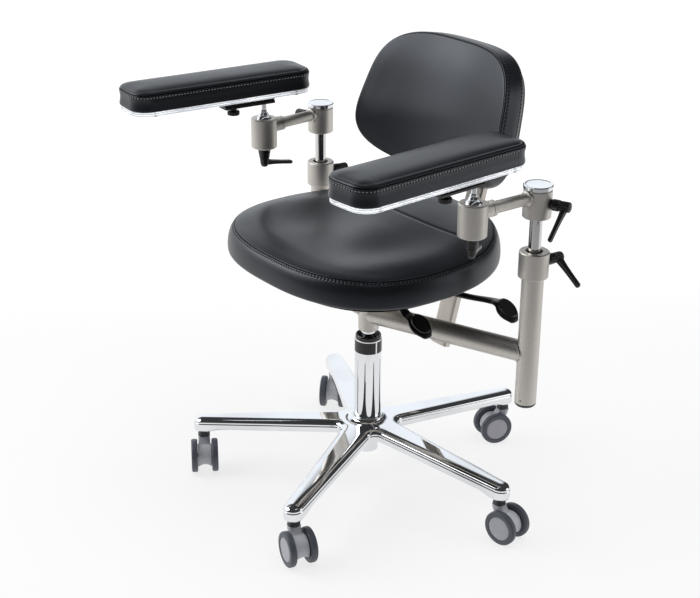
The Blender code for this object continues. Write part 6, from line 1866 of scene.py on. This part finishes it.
# Back
@dataclass
class Back(SubAssembly):
    """The back support: bracket, handwheel, bar, mount, shell and the dished cushion."""

    pivot: Pair = (0.118, 0.4)
    lean: float = 15.0
    bar_offset: float = 0.1024
    bar: Pair = (0.042, 0.016)
    bar_ends: Pair = (-0.1506, 0.3018)
    bracket_half: Pair = (0.0294, 0.0164)
    bracket_height: float = 0.056
    centre: Pair = (-0.0274, 0.3053)
    half_width: float = 0.1875
    half_height: float = 0.1235
    squareness: float = 3.4
    taper: float = 0.11
    dish: float = 0.043
    thickness: float = 0.0505
    crown: float = 0.007
    shell_thickness: float = 0.008
    shell_inset: float = 0.012

    @property
    def frame(self) -> Matrix:
        """Give the leaning frame at the pivot."""
        return shift(0, *self.pivot) @ spun("X", -self.lean)

    def plan(self, count: int) -> Outline:
        """Give the back's outline in its own plane, narrower towards the top."""
        dense = superellipse((self.half_width, self.half_height, self.half_height), (self.squareness,) * 2)
        dense[:, 0] *= 1.0 - self.taper * dense[:, 1] / self.half_height
        return Outline.even(dense, count)

    def bent(self, piece: Piece) -> None:
        """Bend a piece that lies flat, front up, to the back's dish, and set it in its place."""
        flat = vertices(piece)
        depth = self.thickness - flat[:, 2] - self.dish * (flat[:, 0] / self.half_width) ** 2
        write_vertices(piece, np.column_stack([flat[:, 0], depth, flat[:, 1]]))
        Bench.placed(piece, self.frame @ shift(0, *self.centre))

    def top(self, x: np.ndarray, y: np.ndarray, far: np.ndarray) -> np.ndarray:
        """Give the front panel's height above the back of the cushion, at a distance from the seam."""
        lumbar = 0.003 * np.exp(-((y + 0.045) / 0.05) ** 2) * (1.0 - np.exp(-(far / 0.045) ** 2))
        return self.thickness + self.crown * (1.0 - np.exp(-far / 0.02)) + lumbar

    def cushion(self) -> None:
        """Make the back's cushion with two stitched rows on its side band."""
        t = self.thickness
        profile = [(0.03, 0), (0.016, 0.0001), (0.0095, 0.0007), (0.005, 0.0022), (0.0016, 0.0048),
            (-0.0006, 0.0079), (-0.0014, 0.0103), (-0.0018, 0.0123), (-0.0019, 0.0165), (-0.0016, 0.022),
            (-0.0011, 0.0274), (-0.0006, 0.0329), (-0.0002, 0.0373), (0.0001, 0.0402), (0.0003, 0.0426),
            (0.0005, 0.0448), (0.0008, 0.0468), (0.0013, 0.0483), (0.0019, 0.0494), (0.0026, t),
            (0.0032, t + 0.0004), (0.0044, t + 0.0009), (0.0064, t + 0.0015), (0.0095, t + 0.0022),
            (0.015, t + 0.0032)]
        cushion = Cushion(self.plan(360), profile, (6, 14, 19),
            ((19, 0.001, 0.0012), (14, 0.0005, 0.0013), (6, 0.0004, 0.0013)), (14, 6), self.top, unlifted, 90,
            0.0035, 4.0, 0.0066)
        cover, sewing = cushion.made("back_cover")
        for piece in (cover, sewing):
            self.bent(piece)
        self.keep(cover, "black_leatherette", "back", "back_cushion")
        self.keep(sewing, "black_leatherette", "back")

    def shell(self) -> None:
        """Model the moulded shell behind the cushion, with a rolled rim and a raised middle."""
        plan = self.plan(200)
        inset, thick = self.shell_inset, self.shell_thickness
        levels = ((inset + 0.004, -0.0003), (inset + 0.0008, -0.0004), (inset, -0.0012), (inset, -0.005),
            (inset + 0.0012, -0.0072), (inset + 0.0045, -0.0081), (inset + 0.009, -0.0078),
            (inset + 0.011, -0.007), (inset + 0.014, -0.0068), (inset + 0.024, -0.0076),
            (inset + 0.04, -thick - 0.0002))
        shell = Bench.skinned("back_shell_moulding", flat_rings([plan.grown(-i) for i, _ in levels],
            [h for _, h in levels]), (Ends.GRID, Ends.GRID), 50)
        self.bent(shell)
        self.finish(shell, Finishes.BLACK, "back", "back_shell", angle=40.0)

    def supports(self) -> None:
        """Model the bar with its stop screw, the mount on its top, the bracket and the handwheel."""
        wide, deep = self.bar
        low, high = self.bar_ends
        angle = around(64)
        corner = [np.sign(f) * np.abs(f) ** 0.3 for f in (np.cos(angle), np.sin(angle))]
        rings = []
        for s, z in ((0.94, low), (1.0, low + 0.0012), (1.0, low + 0.03), (1.0, 0.5 * (low + high)),
                (1.0, high - 0.0012), (0.94, high)):
            x, y = wide / 2 * s * corner[0], deep / 2 * s * corner[1]
            rings.append(np.column_stack([x, y + self.bar_offset, np.full(64, z)]))
        bar = Finishes.BAR.dress(Bench.skinned("back_strip", rings))
        stop = Bench.turned("stop_screw", rounded([(0, 0.0022), (0.0015, 0.0022), (0.0015, 0.0012),
            (0.003, 0.002, 0.0004), (0.0035, 0.001, 0.0003), (0.0035, -0.0005), (0, -0.0005)], 3), 28)
        Bench.placed(stop, shift(0, self.bar_offset - deep / 2, low + 0.012) @ spun("X", 90.0))
        strip = Bench.smooth(Bench.joined("back_strip", bar, Finishes.GLOSS_BLACK.dress(stop)))
        self.keep(Bench.placed(strip, self.frame), "satin_nickel", "back", "back_bar")
        grip_top, grip_low = high + 0.0083, high - 0.075
        middle, tall = (grip_top + grip_low) / 2, grip_top - grip_low
        front = self.thickness + self.shell_thickness + 0.0006 + self.centre[0]
        grip = Bench.block("mount_grip", (wide + 0.0166, deep + 0.0166, tall), (0, self.bar_offset, middle),
            0.003)
        rear = self.bar_offset - deep / 2 - 0.0073
        arm = Bench.block("mount_arm", (0.044, rear - front, 0.7 * tall), (0, (rear + front) / 2, middle),
            0.002, 2)
        flange = Bench.block("mount_flange", (0.1, 0.006, 0.12), (0, front + 0.003, middle), 0.0016, 2)
        pieces = [Finishes.SATIN.dress(p) for p in (grip, arm, flange)]
        for x, z in ((0.04, 0.048), (-0.04, 0.048), (0.04, -0.048), (-0.04, -0.048)):
            bolt = Bench.turned("mount_bolt", rounded([(0, 0.001), (0.0024, 0.001), (0.0028, 0.0034),
                (0.0052, 0.0042, 0.0008), (0.0058, 0), (0, 0)], 3), 28)
            pieces.append(Finishes.STEEL.dress(Bench.placed(bolt,
                shift(x, front + 0.0059, middle + z) @ spun("X", -90.0))))
        mount = Bench.smooth(Bench.joined("back_clamp", *pieces))
        self.keep(Bench.placed(mount, self.frame), "satin_nickel", "back", "back_mount")
        self.bracket()

    def bracket(self) -> None:
        """Model the tilting bracket and the lobed handwheel that clamps the bar."""
        half, depth = self.bracket_half
        sleeve = Bench.block("bracket_sleeve", (2 * half, 2 * depth, self.bracket_height),
            (0, self.bar_offset, 0), 0.003)
        room = Bench.block("bar_room", (self.bar[0] + 0.0008, self.bar[1] + 0.0008, 2 * self.bracket_height),
            (0, self.bar_offset, 0), 0.0015, 2)
        sleeve = Bench.combined(sleeve, room, "DIFFERENCE")
        length = self.bar_offset - depth + 0.002
        tongue = Bench.block("bracket_tongue", (2 * half, length, 0.022), (0, length / 2, 0), 0.002, 2)
        barrel = Bench.turned("bracket_barrel", rounded([(0.0054, half), (0.0125, half, 0.001),
            (0.0125, -half, 0.001), (0.0054, -half)], 3, True), 48, True)
        Bench.placed(barrel, spun("Y", 90.0))
        piece = Bench.smooth(Bench.joined("tilt_bracket",
            *(Finishes.SATIN.dress(p) for p in (sleeve, tongue, barrel))))
        self.keep(Bench.placed(piece, self.frame), "satin_nickel", "back_bracket", "back_bracket")
        near = depth + 0.0008
        levels = ((0.4, near, 0), (0.78, near, 0), (0.93, near + 0.0012, 0.8), (1.0, near + 0.0036, 1.0),
            (1.0, near + 0.0122, 1.0), (0.95, near + 0.0146, 0.9), (0.84, near + 0.0158, 0.5),
            (0.55, near + 0.016, 0))
        wheel = Bench.skinned("clamp_wheel", flat_rings([lobed(0.019 * s, 0.0042 * cut, 5, 120)
            for s, _, cut in levels], [z for _, z, _ in levels]))
        cap = Bench.turned("clamp_cap", rounded([(0, near + 0.0172), (0.0078, near + 0.017, 0.001),
            (0.0084, near + 0.0156), (0, near + 0.0156)], 4), 40)
        shaft = Bench.turned("clamp_shaft", [(0, near + 0.001), (0.004, near + 0.001), (0.004, 0.0084),
            (0, 0.0084)], 24)
        pieces = [Finishes.BLACK.dress(wheel), Finishes.GLOSS_BLACK.dress(cap), Finishes.STEEL.dress(shaft)]
        piece = Bench.smooth(Bench.joined("clamp_wheel", *pieces))
        Bench.placed(piece, self.frame @ shift(0, self.bar_offset, 0) @ spun("X", -90.0))
        self.keep(piece, "black_plastic", "back_handwheel", "back_handwheel")

    def build(self) -> None:
        """Model and dress the back."""
        self.cushion()
        self.shell()
        self.supports()


# Studio
@dataclass
class Studio:
    """The pale floor, the soft light and the camera at the photograph's angle."""

    eye: Corner = (1.95851, -1.57351, 1.45332)
    ahead: Corner = (-0.72339, 0.56499, -0.39687)
    roll: float = 0.0094
    lens: float = 77.04
    floor_radius: float = 32.0
    dusk: Pair = (0.46, 0.95)
    wall: float = 1.15
    gloom: float = 0.05

    @property
    def facing(self) -> Vector:
        """Give the level direction from the chair towards the camera."""
        return Vector((-self.ahead[0], -self.ahead[1], 0)).normalized()

    @property
    def aside(self) -> Vector:
        """Give the level direction to the right, as the camera sees it."""
        return self.facing.cross(Vector((0, 0, -1.0)))

    def camera(self) -> None:
        """Set the camera."""
        ahead = Vector(self.ahead).normalized()
        level = ahead.cross(Vector((0, 0, 1))).normalized()
        right = level * math.cos(self.roll) + level.cross(ahead) * math.sin(self.roll)
        above = right.cross(ahead)
        bpy.ops.object.camera_add(location=self.eye)
        camera = bpy.context.object
        camera.matrix_world = Matrix(((right.x, above.x, -ahead.x, self.eye[0]),
            (right.y, above.y, -ahead.y, self.eye[1]), (right.z, above.z, -ahead.z, self.eye[2]),
            (0, 0, 0, 1)))
        camera.data.lens = self.lens
        camera.data.sensor_width = 36.0
        camera.data.clip_end = 200.0
        bpy.context.scene.camera = camera

    def floor(self) -> None:
        """Lay the pale floor."""
        bpy.ops.object.select_all(action="DESELECT")
        bpy.ops.mesh.primitive_circle_add(vertices=96, radius=self.floor_radius, fill_type="NGON")
        floor = Bench.named("studio_floor")
        made = bpy.data.materials.new("look_floor")
        made.use_nodes = True
        sheet, shader = NodeSheet(made.node_tree), made.node_tree.nodes["Principled BSDF"]
        forward = sheet.along(sheet.place(), self.facing)
        glow = sheet.mix(forward.ramp(-0.5, -2.0), (0.76, 0.76, 0.76), (0.98, 0.98, 0.98))
        sheet.fill(shader, {"Base Color": (0.22, 0.22, 0.22, 1.0), "Roughness": 0.9,
            "Specular IOR Level": 0.0, "Emission Color": sheet.mix(forward.ramp(*self.dusk), glow,
            (0.24, 0.24, 0.245)), "Emission Strength": 1.0})
        floor.data.materials.append(made)

    def light(self) -> None:
        """Light the studio: a bright wall behind on the left, dark elsewhere, and soft boxes."""
        world = bpy.data.worlds.new("studio_surround")
        bpy.context.scene.world = world
        world.use_nodes = True
        sheet = NodeSheet(world.node_tree)
        way = sheet.node("ShaderNodeTexCoord", output="Generated")
        behind = sheet.along(way, self.facing).ramp(0.1, -0.25)
        low = 1.0 - sheet.part(way, "Z").ramp(0.56, 0.66)
        left = 1.0 - sheet.along(way, self.aside).ramp(0.14, 0.34)
        sheet.fill(world.node_tree.nodes["Background"], {"Color": (0.92, 0.96, 1.0, 1.0),
            "Strength": self.gloom + (self.wall - self.gloom) * behind * low * left})
        for name, place, size, power in (("soft_box_left", (-1.8, -1.9, 2.3), 2.2, 60.0),
                ("soft_box_top", (0.4, 0.5, 2.9), 2.8, 62.0), ("soft_box_right", (1.7, 2.0, 1.0), 1.4, 9.0)):
            bpy.ops.object.light_add(type="AREA", location=place)
            lamp = Bench.named(name)
            lamp.data.shape = "SQUARE"
            lamp.data.size = size
            lamp.visible_glossy = name != "soft_box_top"
            lamp.data.energy = power
            lamp.rotation_euler = (Vector((0, 0, 0.5)) - Vector(place)).to_track_quat("-Z", "Y").to_euler()

    def build(self) -> None:
        """Set up the studio."""
        self.camera()
        self.floor()
        self.light()
        bpy.context.scene.view_settings.view_transform = "Standard"


def main() -> None:
    """Build the chair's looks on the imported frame, then the studio, and report each piece."""
    logging.basicConfig(level=logging.INFO, format="%(name)s: %(message)s")
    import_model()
    base = StarBase()
    base.build()
    Castor(base).build()
    SeatFrame().build()
    Seat().build()
    Back().build()
    pad, sewing = ArmPad().made()
    ArmRest("left", 1.0, -1.1, 3.3, 23.0, -34.0, 125.0, pad, sewing).build()
    ArmRest("right", -1.0, 4.5, -6.0, 195.0, -55.0, 88.0, pad, sewing, pad_offset=(-0.0236, -0.086)).build()
    for model in (pad, sewing):
        bpy.data.objects.remove(model)
    Studio().build()


if __name__ == "__main__":
    main()
